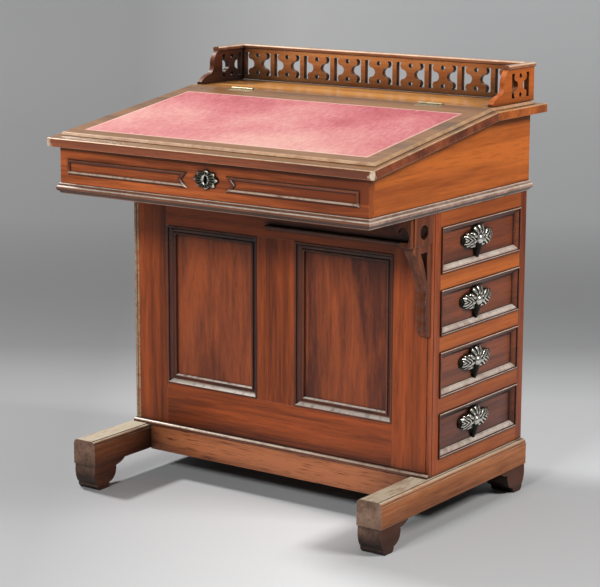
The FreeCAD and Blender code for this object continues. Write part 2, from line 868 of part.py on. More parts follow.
def make_pull(label):
    """A carved pull: a cupped spray of leaves over a nut, with a tongue hanging below."""
    half = "pull_length / 2"
    plate = new_body(label + "_plate")
    right_side = shares([
        (0, -1), (0.17, -0.84), (0.22, -0.54), (0.7, -0.58), (0.96, -0.26), (1, 0.12),
        (0.84, 0.5), (0.6, 0.54), (0.4, 0.92), (0, 0.84),
    ], half, "pull_crown")
    left_side = [("-(%s)" % x, y) for x, y in reversed(right_side[1:-1])]
    pad(plate, outline_sketch(plate, "XY_Plane", right_side + left_side), "pull_plate")

    hood = new_body(label + "_hood")
    shell = [
        ("pull_crown * 0.9", "0"),
        ("pull_crown * 0.74", "pull_reach * 0.54"),
        ("pull_crown * 0.34", "pull_reach * 0.88"),
        ("pull_crown * -0.3", "pull_reach"),
        ("pull_crown * -0.3", "pull_reach - pull_wall"),
        ("pull_crown * 0.3", "pull_reach * 0.88 - pull_wall"),
        ("pull_crown * 0.7 - pull_wall", "pull_reach * 0.5"),
        ("pull_crown * 0.9 - pull_wall", "0"),
    ]
    pad(hood, outline_sketch(hood, "YZ_Plane", shell), half + " * 1.8", both_ways=True)
    spray_right = shares([
        (0, -0.28), (0.3, -0.12), (0.5, -0.2), (0.8, 0.04), (0.84, 0.3), (0.6, 0.48),
        (0.42, 0.86), (0, 0.94),
    ], half, "pull_crown")
    spray_left = [("-(%s)" % x, y) for x, y in reversed(spray_right[1:-1])]
    around = rectangle("-(%s)" % half, half, "-pull_crown", "pull_crown")
    sketch = outline_sketch(hood, "XY_Plane", around, spray_right + spray_left)
    pocket(hood, sketch, "pull_reach * 2", backwards=True)

    tongue = new_body(label + "_tongue")
    side_view = [
        ("0", "0"), ("0", "pull_reach * 0.9"), ("-pull_crown * 0.4", "pull_reach * 0.82"),
        ("via", "-pull_drop * 0.8", "pull_reach * 0.6"), ("-pull_drop", "pull_plate"),
        ("-pull_drop", "0"),
    ]
    pad(tongue, outline_sketch(tongue, "YZ_Plane", side_view), "tongue_width", both_ways=True)
    nut = named("Part::Cone", label + "_nut")
    bind(nut, "Radius1", "berry_radius")
    bind(nut, "Radius2", "berry_radius * 0.4")
    bind(nut, "Height", "berry_length / 2")
    place(nut, z="pull_reach - berry_length * 0.42")
    cup = named("Part::Cylinder", label + "_cup")
    bind(cup, "Radius", "berry_radius")
    bind(cup, "Height", "berry_length / 2")
    place(cup, z="pull_reach - berry_length * 0.92")
    return fuse(label, [plate, hood, tongue, nut, cup])


def make_drawers():
    nodes = []
    dummies = []
    dummy_pulls = []
    for number in range(1, int(value("drawer_count")) + 1):
        name = "drawer_%d_" % number
        nodes.append(place_on_drawer(make_drawer_face(name + "front"), number, 1))
        nodes.append(make_drawer_box(number))
        nodes.append(place_on_drawer(make_pull(name + "pull"), number, 1, "pull_lift"))
        face = make_drawer_face("dummy_front_%d" % number)
        dummies.append(place_on_drawer(face, number, -1))
        pull = make_pull("dummy_pull_%d" % number)
        dummy_pulls.append(place_on_drawer(pull, number, -1, "pull_lift"))
    nodes.append(group("dummy_fronts", dummies))
    nodes.append(group("dummy_pulls", dummy_pulls))
    nodes.append(make_runner_bars())
    return nodes


# ---------------------------------------------------------------- writing box

def make_box_side(label, side):
    """A side board, level under the ledge and sloped under the lid."""
    body = new_body(label)
    outline = [
        ("lock_front", "box_z"), ("box_back_y", "box_z"), ("box_back_y", "lid_under"),
        ("seam_y", "lid_under"), ("lock_front", "lock_top"),
    ]
    pad(body, outline_sketch(body, "YZ_Plane", outline), "box_board", backwards=side < 0)
    return place(body, "%d * well_half" % side)


def keyhole_outline(centre_z):
    """A round keyhole with a slot beneath it, in XZ."""
    slot = "keyhole_radius * 0.45"
    return [
        ("-(%s)" % slot, centre_z + " - keyhole_radius * 0.89"),
        ("via", "0", centre_z + " + keyhole_radius"),
        (slot, centre_z + " - keyhole_radius * 0.89"),
        (slot, centre_z + " - keyhole_radius * 2.8"),
        ("-(%s)" % slot, centre_z + " - keyhole_radius * 2.8"),
    ]


def rectangle(x_low, x_high, y_low, y_high):
    return [(x_low, y_low), (x_high, y_low), (x_high, y_high), (x_low, y_high)]


def make_box_front():
    """The front board, bevelled to the lid's slope, with the lock's mortise."""
    body = new_body("box_front")
    outline = [
        ("box_front_y", "box_z"), ("lock_front", "box_z"),
        ("lock_front", "lock_top"), ("box_front_y", "front_top"),
    ]
    pad(body, outline_sketch(body, "YZ_Plane", outline), "2 * box_half", both_ways=True)
    mortise = outline_sketch(body, "XZ_Plane", rectangle(
        "-lock_width / 2", "lock_width / 2", "lock_high - lock_height", "lock_top + 1"))
    bind(mortise, "AttachmentOffset.Base.z", "-lock_front")
    pocket(body, mortise, "lock_depth", backwards=True)
    keyhole = outline_sketch(body, "XZ_Plane", keyhole_outline("key_z"))
    bind(keyhole, "AttachmentOffset.Base.z", "-box_front_y")
    pocket(body, keyhole, "box_board - lock_depth")
    return body


def make_base_moulding():
    """The nosed moulding that runs round the foot of the writing box."""
    section = [
        ("0", "0"),
        ("-base_moulding_projection * 0.2", "0"),
        ("via", "-base_moulding_projection * 0.32", "base_moulding_height * 0.16"),
        ("-base_moulding_projection * 0.7", "base_moulding_height * 0.25"),
        ("via", "-base_moulding_projection", "base_moulding_height * 0.48"),
        ("-base_moulding_projection * 0.72", "base_moulding_height * 0.72"),
        ("-base_moulding_projection * 0.45", "base_moulding_height * 0.75"),
        ("-base_moulding_projection * 0.4", "base_moulding_height * 0.93"),
        ("-base_moulding_projection * 0.25", "base_moulding_height"),
        ("0", "base_moulding_height"),
    ]
    half_deep = "(box_back_y - box_front_y) / 2"
    ring = frame_ring("box_base_moulding", "box_half", half_deep, section)
    return place(ring, y="(box_back_y + box_front_y) / 2", z="box_z", turn=TURNS["up"])


def make_fascia_moulding():
    """Two applied half-round frames whose notched ends embrace the keyhole."""
    half = "(bead_end - bead_inner) / 2"
    middle = "(bead_end + bead_inner) / 2"
    path = [
        ("-(%s)" % half, "-bead_below"), (half, "-bead_below"), (half, "bead_above"),
        ("-(%s)" % half, "bead_above"),
        ("bead_notch - %s" % middle, "(bead_above - bead_below) / 2"),
    ]
    section = [
        ("-bead_below", "0"), ("-bead_below", "1"),
        ("via", "bead_width / 2 - bead_below", "bead_height"),
        ("bead_width - bead_below", "1"), ("bead_width - bead_below", "0"),
    ]
    right = swept("fascia_moulding_right", path, section, role="YZ_Plane")
    place(right, middle, "box_front_y", "key_z", TURNS["front"])
    return group("fascia_moulding", [right, mirrored("fascia_moulding_left", right)])


def make_writing_box():
    return [
        make_box_side("box_side_left", -1),
        make_box_side("box_side_right", 1),
        make_box_front(),
        board("box_back", ("-well_half", "well_half"), ("well_back", "box_back_y"),
              ("box_z", "lid_under")),
        board("box_bottom", ("-well_half", "well_half"), ("lock_front", "well_back"),
              ("box_z", "well_floor")),
        make_base_moulding(),
        make_fascia_moulding(),
    ]


# ---------------------------------------------------------------- lid and ledge

def shape_top_board(body, slab_outline, field_outline, free_edge):
    """A board with a raised field and moulded edges, in the plane of its top."""
    pad(body, outline_sketch(body, "YZ_Plane", slab_outline), "top_width", both_ways=True)
    field_width = "top_width - 2 * side_margin"
    pad(body, outline_sketch(body, "YZ_Plane", field_outline), field_width, both_ways=True)
    half = value("top_width / 2")
    field_half = value("top_width / 2 - side_margin")
    free = value(free_edge)
    margin = value("edge_margin") * (1 if free < 0 else -1)
    shoulder = value("-field_raise")

    def outer_arris(box):
        on_end = near(box.YMin, free) and near(box.YMax, free)
        on_side = near(box.XMin, box.XMax) and near(abs(box.XMin), half)
        return near(box.ZMin, shoulder) and near(box.ZMax, shoulder) and (on_end or on_side)

    def field_arris(box):
        on_end = near(box.YMin, free + margin) and near(box.YMax, free + margin)
        on_side = near(box.XMin, box.XMax) and near(abs(box.XMin), field_half)
        return near(box.ZMin, 0) and near(box.ZMax, 0) and (on_end or on_side)

    dress(body, "Fillet", "edge_round", outer_arris)
    dress(body, "Chamfer", "field_raise - 1", field_arris)


def level_sketch(body, height, *outlines):
    """A sketch parallel to the board's top, at one height."""
    sketch = outline_sketch(body, "XY_Plane", *outlines)
    bind(sketch, "AttachmentOffset.Base.z", height)
    return sketch


def cut_hinge_seats(body, sign):
    """Sink the hinge leaves flush and leave room for their knuckles."""
    for depth, reach in (
            ("leaf_thickness", "hinge_leaf"),
            ("knuckle_radius + knuckle_clearance", "knuckle_radius + knuckle_clearance")):
        seats = []
        for side in (-1, 1):
            low = "%d * hinge_place - hinge_length / 2" % side
            high = "%d * hinge_place + hinge_length / 2" % side
            seats.append(rectangle(low, high, "0", "%d * (%s)" % (sign, reach)))
        pocket(body, level_sketch(body, "0", *seats), depth)


LEATHER = rectangle(
    "leather_side_margin - top_width / 2", "top_width / 2 - leather_side_margin",
    "leather_front_margin - lid_length", "-leather_rear_margin")


def place_on_lid(thing):
    """The lid's pieces are made flat, then tipped to the slope at the seam."""
    thing.Placement = FreeCAD.Placement(Vector(), Rotation(Vector(1, 0, 0), value("lid_slope")))
    place(thing, y="seam_y", z="top_z")
    bind(thing, "Placement.Rotation.Angle", "lid_slope")
    return thing


def make_lid():
    body = new_body("lid_board")
    edge = "-seam_gap / cos(lid_slope) - %s * tan(lid_slope)"
    slab_outline = [
        ("-lid_length", "-slab"), (edge % "slab", "-slab"),
        (edge % "field_raise", "-field_raise"), ("-lid_length", "-field_raise"),
    ]
    field_outline = [
        ("edge_margin - lid_length", "-field_raise"), (edge % "field_raise", "-field_raise"),
        (edge % "0", "0"), ("edge_margin - lid_length", "0"),
    ]
    shape_top_board(body, slab_outline, field_outline, "-lid_length")
    pocket(body, level_sketch(body, "0", LEATHER), "leather_thickness")
    cut_hinge_seats(body, -1)
    plate = rectangle(
        "-strike_width / 2", "strike_width / 2",
        "strike_y - strike_depth / 2", "strike_y + strike_depth / 2")
    pocket(body, level_sketch(body, "-slab", plate), "strike_thickness", backwards=True)
    pocket(body, level_sketch(body, "-slab", strike_slot()), "mortise_depth", backwards=True)
    return place_on_lid(body)


def strike_slot():
    """The opening that the bolt rises through, in the lid's own plane."""
    half_wide = "(bolt_width / 2 + bolt_play)"
    half_deep = "(bolt_depth / 2 + bolt_play)"
    return rectangle(
        "-" + half_wide, half_wide, "strike_y - " + half_deep, "strike_y + " + half_deep)


def make_ledge():
    body = new_body("ledge_top")
    low = "lid_under - top_z"
    slab_outline = rectangle("seam_gap", "ledge_depth", low, "-field_raise")
    field_outline = rectangle("seam_gap", "ledge_depth - edge_margin", "-field_raise", "0")
    shape_top_board(body, slab_outline, field_outline, "ledge_depth")
    cut_hinge_seats(body, 1)
    return place(body, y="seam_y", z="top_z")


def make_leather():
    body = new_body("leather")
    pad(body, level_sketch(body, "-leather_thickness", LEATHER), "leather_thickness")
    return place_on_lid(body)


def make_hinge_half(label, side, sign, thirds):
    """One leaf with its knuckles; the thirds say which barrels it carries."""
    start = "(%d * hinge_place - hinge_length / 2)" % side
    reach = "(knuckle_radius + knuckle_clearance / 2)"
    y = ("-hinge_leaf", "-" + reach) if sign < 0 else (reach, "hinge_leaf")
    pieces = [board(
        label + "_leaf", (start, start + " + hinge_length"), y, ("-leaf_thickness", "0"))]
    for third in thirds:
        low = "%s + %d * knuckle_third + seam_gap / 2" % (start, third)
        high = "%s + %d * knuckle_third - seam_gap / 2" % (start, third + 1)
        y = ("-" + reach, "0") if sign < 0 else ("0", reach)
        name = "%s_%d" % (label, third)
        pieces.append(board(name + "_tab", (low, high), y, ("-leaf_thickness", "0")))
        barrel = named("Part::Cylinder", name + "_barrel")
        bind(barrel, "Radius", "knuckle_radius")
        bind(barrel, "Height", "knuckle_third - seam_gap")
        pieces.append(place(barrel, low, turn=ALONG_X))
    bore = named("Part::Cylinder", label + "_bore")
    bind(bore, "Radius", "pin_radius + pin_clearance")
    bind(bore, "Height", "hinge_length")
    place(bore, start, turn=ALONG_X)
    return cut(label, fuse(label + "_solid", pieces), [bore])


def make_hinges():
    fixed = []
    moving = []
    for name, side in PANEL_SIDES:
        half = make_hinge_half("hinge_fixed_" + name, side, 1, (0, 2))
        fixed.append(place(half, y="seam_y", z="top_z"))
        pin = named("Part::Cylinder", "hinge_pin_" + name)
        bind(pin, "Radius", "pin_radius")
        bind(pin, "Height", "hinge_length")
        start = "%d * hinge_place - hinge_length / 2" % side
        fixed.append(place(pin, start, "seam_y", "top_z", ALONG_X))
        moving.append(make_hinge_half("hinge_moving_" + name, side, -1, (1,)))
    return [
        group("hinge_leaves_fixed", fixed),
        place_on_lid(group("hinge_leaves_lid", moving)),
    ]


def make_lock():
    """A box lock let into the front board, its bolt rising into the lid."""
    case = board(
        "lock_case_block", ("-lock_width / 2", "lock_width / 2"),
        ("lock_front - lock_depth", "lock_front"), ("lock_high - lock_height", "lock_high"))
    half_wide = "(bolt_width / 2 + bolt_gap)"
    half_deep = "(bolt_depth / 2 + bolt_gap)"
    shaft = board(
        "lock_case_shaft", ("-" + half_wide, half_wide),
        ("bolt_y - " + half_deep, "bolt_y + " + half_deep),
        ("lock_high - bolt_length - bolt_gap", "lock_high + 1"))
    bolt = board(
        "lock_bolt", ("-bolt_width / 2", "bolt_width / 2"),
        ("bolt_y - bolt_depth / 2", "bolt_y + bolt_depth / 2"),
        ("lock_high - bolt_length", "lock_high"))
    strike = new_body("strike_plate")
    plate = rectangle(
        "-strike_width / 2", "strike_width / 2",
        "strike_y - strike_depth / 2", "strike_y + strike_depth / 2")
    pad(strike, level_sketch(strike, "-slab", plate, strike_slot()), "strike_thickness")
    return [cut("lock_case", case, [shaft]), bolt, place_on_lid(strike)]


def make_escutcheon():
    """A lobed plate round the keyhole."""
    body = new_body("escutcheon")
    half = "escutcheon_width / 2"
    rise = "escutcheon_height / 2"
    quarter = [
        (half, "0"),
        (half + " * 0.86", rise + " * 0.34"),
        (half + " * 0.68", rise + " * 0.3"),
        ("via", half + " * 0.6", rise + " * 0.76"),
        (half + " * 0.32", rise + " * 0.7"),
        (half + " * 0.2", rise + " * 0.96"),
        ("0", rise),
    ]
    outline = four_ways(quarter)
    plate = outline_sketch(body, "XY_Plane", outline)
    pad(body, plate, "escutcheon_thickness")
    keyhole = outline_sketch(body, "XY_Plane", keyhole_outline("0"))
    pocket(body, keyhole, "escutcheon_thickness", backwards=True)
    return place(body, y="box_front_y", z="key_z", turn=TURNS["front"])


# ---------------------------------------------------------------- gallery

def fret_loops(centre, middle):
    """The two openings that leave one ornament: a waisted web with four round knobs."""
    loops = []
    for sign in ("+", "-"):
        x = centre + " " + sign + " "
        loops.append([
            (x + "fret_edge", middle + " - fret_height / 2"),
            (x + "fret_edge", middle + " + fret_height / 2"),
            (x + "fret_shoulder", middle + " + fret_height / 2"),
            ("via", x + "fret_knob", middle + " + fret_knob_rise"),
            (x + "fret_cusp", middle + " + fret_cusp_rise"),
            ("via", x + "fret_waist", middle),
            (x + "fret_cusp", middle + " - fret_cusp_rise"),
            ("via", x + "fret_knob", middle + " - fret_knob_rise"),
            (x + "fret_shoulder", middle + " - fret_height / 2"),
        ])
    return loops


def drill_fret(sketch, centre, middle):
    for sign in ("+", "-"):
        draw_circle(sketch, (centre, "%s %s fret_hole_rise" % (middle, sign)), "fret_hole_radius")


def make_gallery_back():
    """The pierced back board: one ornament cut out, then repeated along the board."""
    body = new_body("gallery_back")
    half = "(gallery_half - gallery_board)"
    outline = rectangle("-" + half, half, "top_z", "cap_z")
    pad(body, outline_sketch(body, "XZ_Plane", outline), "gallery_board")
    first = "(-fret_pitch * (fret_count - 1) / 2)"
    sketch = outline_sketch(body, "XZ_Plane", *fret_loops(first, "fret_mid"))
    drill_fret(sketch, first, "fret_mid")
    opening = pocket(body, sketch, "2 * gallery_board", both_ways=True)
    document.recompute()
    pattern = body.newObject("PartDesign::LinearPattern", "gallery_fret_pattern")
    pattern.Originals = [opening]
    pattern.Direction = (sketch, ["H_Axis"])
    bind(pattern, "Length", "fret_pitch * (fret_count - 1)")
    bind(pattern, "Occurrences", "fret_count")
    body.Tip = pattern
    return place(body, y="gallery_y")


def make_gallery_side(label, side):
    """A pierced wing with a scrolled front edge."""
    body = new_body(label)
    rise = "(cap_z - top_z)"
    outline = [
        ("gallery_y", "top_z"),
        ("gallery_y", "cap_z"),
        ("gallery_y - wing_top", "cap_z"),
        ("via", "gallery_y - (wing_top + 3 * wing_waist) / 4", "top_z + %s * 0.82" % rise),
        ("gallery_y - wing_waist", "top_z + %s * 0.62" % rise),
        ("via", "gallery_y - (19 * wing_waist + wing_foot) / 20", "top_z + %s * 0.43" % rise),
        ("gallery_y - (3 * wing_waist + wing_foot) / 4", "top_z + %s * 0.3" % rise),
        ("via", "gallery_y - (wing_waist + 3 * wing_foot) / 4", "top_z + %s * 0.2" % rise),
        ("gallery_y - wing_foot", "top_z + %s * 0.08" % rise),
        ("gallery_y - wing_foot", "top_z"),
    ]
    pad(body, outline_sketch(body, "YZ_Plane", outline), "gallery_board", backwards=side > 0)
    centre = "(gallery_y - side_fret_set)"
    sketch = outline_sketch(body, "YZ_Plane", *fret_loops(centre, "fret_mid"))
    drill_fret(sketch, centre, "fret_mid")
    pocket(body, sketch, "3 * gallery_board", both_ways=True)
    return place(body, "%d * gallery_half" % side)


def make_gallery_cap():
    """The rounded cap rail, mitred round the three boards."""
    centre = "(gallery_half - gallery_board / 2)"
    deep = "(wing_top - gallery_board / 2)"
    half = "(gallery_board / 2 + cap_overhang)"
    path = [(centre, "0"), (centre, deep), ("-" + centre, deep), ("-" + centre, "0")]
    section = [
        (centre + " - " + half, "cap_height * 0.17"),
        (centre + " - " + half, "cap_height * 0.55"),
        ("via", "%s - %s * 0.8" % (centre, half), "cap_height * 0.9"),
        ("%s - %s * 0.45" % (centre, half), "cap_height"),
        ("%s + %s * 0.45" % (centre, half), "cap_height"),
        ("via", "%s + %s * 0.8" % (centre, half), "cap_height * 0.9"),
        (centre + " + " + half, "cap_height * 0.55"),
        (centre + " + " + half, "cap_height * 0.17"),
        (centre + " + gallery_board / 2", "0"),
        (centre + " - gallery_board / 2", "0"),
    ]
    body = swept("gallery_cap", path, section, closed=False)
    return place(body, y="gallery_y - wing_top", z="cap_z")


def make_gallery():
    return [
        make_gallery_back(),
        make_gallery_side("gallery_side_left", -1),
        make_gallery_side("gallery_side_right", 1),
        make_gallery_cap(),
    ]


# ---------------------------------------------------------------- bracket and strip

def make_bracket():
    """The pierced bracket under the writing box, with its cusped spandrel."""
    arm = new_body("bracket_arm")
    block = "(bracket_reach - spandrel_thickness)"
    outline = [
        ("0", "0"), ("-" + block, "0"), ("-" + block, "-spandrel_height"),
    ]
    outline += shares([
        (-0.862, -0.237), (-0.85, -0.27), ("via", -0.53, -0.41), (-0.27, -0.6),
        (-0.19, -0.645), ("via", -0.25, -0.7), (-0.2, -0.755), ("via", -0.24, -0.81),
        (-0.19, -0.865), ("via", -0.21, -0.92), (-0.13, -0.97), (-0.09, -1), (0, -1),
    ], "bracket_reach", "bracket_drop")
    pad(arm, outline_sketch(arm, "YZ_Plane", outline), "bracket_thickness")
    piercing = shares([
        (-0.2, -0.3), (-0.53, -0.3), ("via", -0.34, -0.42), (-0.2, -0.56),
    ], "bracket_reach", "bracket_drop")
    through = outline_sketch(arm, "YZ_Plane", piercing)
    draw_circle(through, ("-0.47 * " + block, "-0.56 * spandrel_height"), "eye_radius")
    pocket(arm, through, "bracket_thickness", backwards=True)
    hollow = rectangle(
        "-" + block, "-0.13 * " + block, "-0.86 * spandrel_height", "-0.22 * spandrel_height")
    pocket(arm, outline_sketch(arm, "YZ_Plane", hollow), "bracket_thickness - block_skin",
           backwards=True)
    lower = outline_sketch(
        arm, "YZ_Plane", rectangle("-bracket_reach", "0", "-bracket_drop", "-spandrel_height"))
    bind(lower, "AttachmentOffset.Base.z", "bracket_thickness")
    pocket(arm, lower, "block_proud")
    place(arm, "ped_half - bracket_thickness", "ped_front", "box_z")

    spandrel = new_body("bracket_spandrel")
    arches = shares([
        (0, 0), (0, -1), (-0.5, -1), (-0.5, -0.83), (-0.13, -0.83),
        ("via", -0.09, -0.53), (-0.3, -0.3), ("via", -0.5, -0.36), (-0.61, -0.545),
        ("via", -0.75, -0.34), (-1, -0.24), (-1, 0),
    ], "spandrel_width", "spandrel_height")
    pad(spandrel, outline_sketch(spandrel, "XZ_Plane", arches), "spandrel_thickness")
    place(spandrel, "ped_half - block_proud", "ped_front - " + block, "box_z")
    return group("overhang_bracket", [arm, spandrel])


def make_strip():
    """A half-round strip planted on the top rail, rounded off at its free end."""
    body = new_body("frieze_strip")
    outline = [
        ("0", "0"), ("-strip_reach * 0.67", "0"),
        ("via", "-strip_reach", "strip_height / 2"),
        ("-strip_reach * 0.67", "strip_height"), ("0", "strip_height"),
    ]
    length = "strip_start + ped_half - bracket_thickness"
    pad(body, outline_sketch(body, "YZ_Plane", outline), length)

    def free_end(box):
        return near(box.XMin, 0) and near(box.XMax, 0) and near(box.ZLength, 0)

    dress(body, "Fillet", "strip_height * 0.45", free_end)
    return place(body, "-strip_start", "ped_front", "box_z - strip_drop")


# ---------------------------------------------------------------- fitted nest

def make_nest():
    """Shelf and partitions under the ledge: pigeonholes over two small drawers."""
    y = ("nest_front", "well_back")
    shelf_low = "well_floor + nest_drawer_height"
    shelf_high = shelf_low + " + nest_board"
    pieces = [board("nest_shelf", ("-well_half", "well_half"), y, (shelf_low, shelf_high))]
    for name, side in PANEL_SIDES:
        near_edge = "well_half - nest_drawer_width"
        x = (near_edge + " - nest_board", near_edge)
        upper = ("well_half / 3", "well_half / 3 + nest_board")
        if side < 0:
            x = ("-(%s)" % x[1], "-(%s)" % x[0])
            upper = ("-(%s)" % upper[1], "-(%s)" % upper[0])
        pieces.append(board("nest_low_" + name, x, y, ("well_floor", shelf_low)))
        pieces.append(board("nest_high_" + name, upper, y, (shelf_high, "lid_under")))
    return group("nest", pieces)


def make_knob(label):
    """A small turned knob: a waisted neck under a rounded head."""
    neck = named("Part::Cone", label + "_neck")
    bind(neck, "Radius1", "knob_radius * 0.5")
    bind(neck, "Radius2", "knob_radius")
    bind(neck, "Height", "knob_reach * 0.6")
    head = named("Part::Cone", label + "_head")
    bind(head, "Radius1", "knob_radius")
    bind(head, "Radius2", "knob_radius * 0.55")
    bind(head, "Height", "knob_reach * 0.4")
    place(head, z="knob_reach * 0.6")
    return fuse(label, [neck, head])


def make_nest_drawer(label, side):
    """A small drawer of thin boards with a turned knob."""
    inner = "well_half - nest_drawer_width + nest_gap"
    outer = "well_half - nest_gap"
    x = (inner, outer) if side > 0 else ("-(%s)" % outer, "-(%s)" % inner)
    y = ("nest_front", "well_back - nest_gap")
    low = "well_floor + running_gap"
    high = "well_floor + nest_drawer_height - nest_gap"
    inside_x = (x[0] + " + nest_drawer_wall", x[1] + " - nest_drawer_wall")
    behind = ("nest_front + nest_drawer_wall", y[1])
    knob = make_knob(label + "_knob")
    middle = "%d * (well_half - nest_drawer_width / 2)" % side
    place(knob, middle, "nest_front", "well_floor + nest_drawer_height / 2", TURNS["front"])
    wall = "nest_drawer_wall"
    return group(label, [
        board(label + "_front", x, ("nest_front", behind[0]), (low, high)),
        board(label + "_side_a", (x[0], inside_x[0]), behind, (low, high)),
        board(label + "_side_b", (inside_x[1], x[1]), behind, (low, high)),
        board(label + "_back", inside_x, (y[1] + " - " + wall, y[1]), (low, high)),
        board(label + "_bottom", inside_x, (behind[0], y[1] + " - " + wall),
              (low, low + " + nest_drawer_wall / 2")),
        knob,
    ])


# ---------------------------------------------------------------- hand-over

def check_document():
    failed = [
        thing.Label for thing in document.Objects
        if "Invalid" in thing.State or "Error" in thing.State
    ]
    if failed:
        raise RuntimeError("failed features: " + ", ".join(failed))


def write_nodes(nodes):
    os.makedirs("parts", exist_ok=True)
    for node in nodes:
        if node.Shape.isNull() or not node.Shape.isValid():
            raise RuntimeError("bad shape: " + node.Label)
        node.Shape.exportStep("parts/%s.step" % node.Label)


all_nodes = make_stand() + make_pedestal() + make_drawers() + make_writing_box()
all_nodes += [make_lid(), make_ledge(), make_leather()] + make_hinges() + make_lock()
all_nodes += [make_escutcheon()] + make_gallery() + [make_bracket(), make_strip()]
all_nodes.append(make_nest())
all_nodes.append(make_nest_drawer("nest_drawer_left", -1))
all_nodes.append(make_nest_drawer("nest_drawer_right", 1))
document.recompute()
check_document()
write_nodes(all_nodes)
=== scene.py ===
"""Finish for a walnut davenport desk: polish, wear, painted light and shade, leather, carved
pulls and brass.
"""

import math

import bmesh
import bpy
from mathutils import Matrix, Vector


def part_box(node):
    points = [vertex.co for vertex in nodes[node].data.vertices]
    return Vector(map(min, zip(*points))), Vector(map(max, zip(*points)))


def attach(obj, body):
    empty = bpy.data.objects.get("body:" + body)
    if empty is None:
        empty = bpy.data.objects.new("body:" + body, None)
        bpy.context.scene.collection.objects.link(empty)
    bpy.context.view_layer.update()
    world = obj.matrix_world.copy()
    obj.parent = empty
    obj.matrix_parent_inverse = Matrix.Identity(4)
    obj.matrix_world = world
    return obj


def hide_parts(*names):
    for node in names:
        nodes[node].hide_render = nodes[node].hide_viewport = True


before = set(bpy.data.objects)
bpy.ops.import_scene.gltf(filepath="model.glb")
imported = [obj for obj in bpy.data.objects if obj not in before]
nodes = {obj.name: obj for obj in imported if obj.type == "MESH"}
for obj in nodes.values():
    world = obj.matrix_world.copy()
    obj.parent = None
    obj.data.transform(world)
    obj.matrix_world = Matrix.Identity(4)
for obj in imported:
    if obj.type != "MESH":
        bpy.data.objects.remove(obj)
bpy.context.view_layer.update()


# ---------------------------------------------------------------- studio
# A sheet of pale paper under the desk that sweeps up into a grey wall behind it. The sweep
# stands square to the camera, and its tone is painted light: it falls from pale at the floor
# to mid grey at the foot of the wall, lightens up the wall, and is darker at the left than
# at the right. Three soft boxes light the desk.

VIEW_TURN = math.radians(35.35)
VIEW_TILT = math.radians(11.53)
VIEW_ROLL = math.radians(0.16)
CAMERA_PLACE = Vector((2.3084, -3.2521, 1.2372))
LENS_MM = 122.7
SENSOR_MM = 36.0
LENS_SHIFT = (0.002, -0.015)
FARTHEST_SEEN = 50.0

FLOOR_NEAR = -6.0
FLOOR_FAR = 1.5
SWEEP_RADIUS = 0.9
SWEEP_STEPS = 12
WALL_HEIGHT = 4.0
STUDIO_HALF_WIDTH = 6.0

AWAY_FROM_CAMERA = (-math.sin(VIEW_TURN), math.cos(VIEW_TURN), 0)
ACROSS_CAMERA = (math.cos(VIEW_TURN), math.sin(VIEW_TURN), 0)
FLOOR_DEPTHS = (-0.6, 2.4)
# The paper's tones are painted light: the falloff of the lamps along the floor, up the wall and
# across.
FLOOR_PAINTED_LIGHT = ((0.0, 0.68), (0.17, 0.61), (0.43, 0.56), (0.62, 0.31), (0.80, 0.25), (1.0, 0.24))
WALL_PAINTED_LIGHT = ((0.0, 0.24), (0.2, 0.32), (0.45, 0.38), (0.9, 0.56))
WALL_FOOT = (0.0, 0.2)
SIDE_REACH = (-0.5, 0.5)
SIDE_PAINTED_LIGHT = (
    (0.0, (0.565, 0.578, 0.600)), (0.5, (0.850, 0.870, 0.900)), (1.0, (0.800, 0.825, 0.860)))

LAMPS = (
    ("left_key", (-3.3, -0.1, 3.5), (0, 0, 0.45), (0.5, 0.5), 200, (1.0, 0.98, 0.95)),
    ("right_box", (3.2, 0.6, 3.0), (0, 0, 0.5), (1.1, 1.1), 118, (1.0, 0.96, 0.91)),
    ("front_box", (0.4, -4.2, 2.9), (0, 0, 0.4), (1.4, 0.9), 135, (1.0, 0.99, 0.97)),
)
ROOM_TONE = (0.82, 0.83, 0.85, 1)
ROOM_STRENGTH = 0.06


def join(tree, source, target):
    tree.links.new(source, target)


def add(tree, kind, inputs=None, **settings):
    """Add one node; its inputs are plain values or the sockets that feed them."""
    made = tree.nodes.new(kind)
    for name, setting in settings.items():
        setattr(made, name, setting)
    for name, source in (inputs or {}).items():
        if isinstance(source, bpy.types.NodeSocket):
            join(tree, source, made.inputs[name])
        else:
            made.inputs[name].default_value = source
    return made


def spread(tree, value, start, end, low=0.0, high=1.0):
    """How far a value lies from start to end, as a value from low to high."""
    return add(tree, "ShaderNodeMapRange", {
        "Value": value, "From Min": start, "From Max": end, "To Min": low, "To Max": high,
    }).outputs["Result"]


def blend(tree, share, first, second):
    return add(
        tree, "ShaderNodeMix", {0: share, 6: first, 7: second}, data_type="RGBA").outputs[2]


def ramp(tree, factor, *stops):
    """A colour ramp from (place, grey or colour) stops."""
    made = add(tree, "ShaderNodeValToRGB", {"Fac": factor})
    band = made.color_ramp
    while len(band.elements) < len(stops):
        band.elements.new(0.5)
    for element, (place, tone) in zip(band.elements, stops):
        element.position = place
        shade = (tone, tone, tone) if isinstance(tone, (int, float)) else tone
        element.color = (*shade, 1.0)
    return made.outputs["Color"]


def desk_place(tree):
    """Where each point is on the desk, in metres."""
    return add(tree, "ShaderNodeTexCoord").outputs["Object"]


def part_of(tree, vector, axis):
    return add(tree, "ShaderNodeSeparateXYZ", {"Vector": vector}).outputs[axis]


def dot(tree, first, second):
    return add(
        tree, "ShaderNodeVectorMath", {0: first, 1: second}, operation="DOT_PRODUCT",
    ).outputs["Value"]


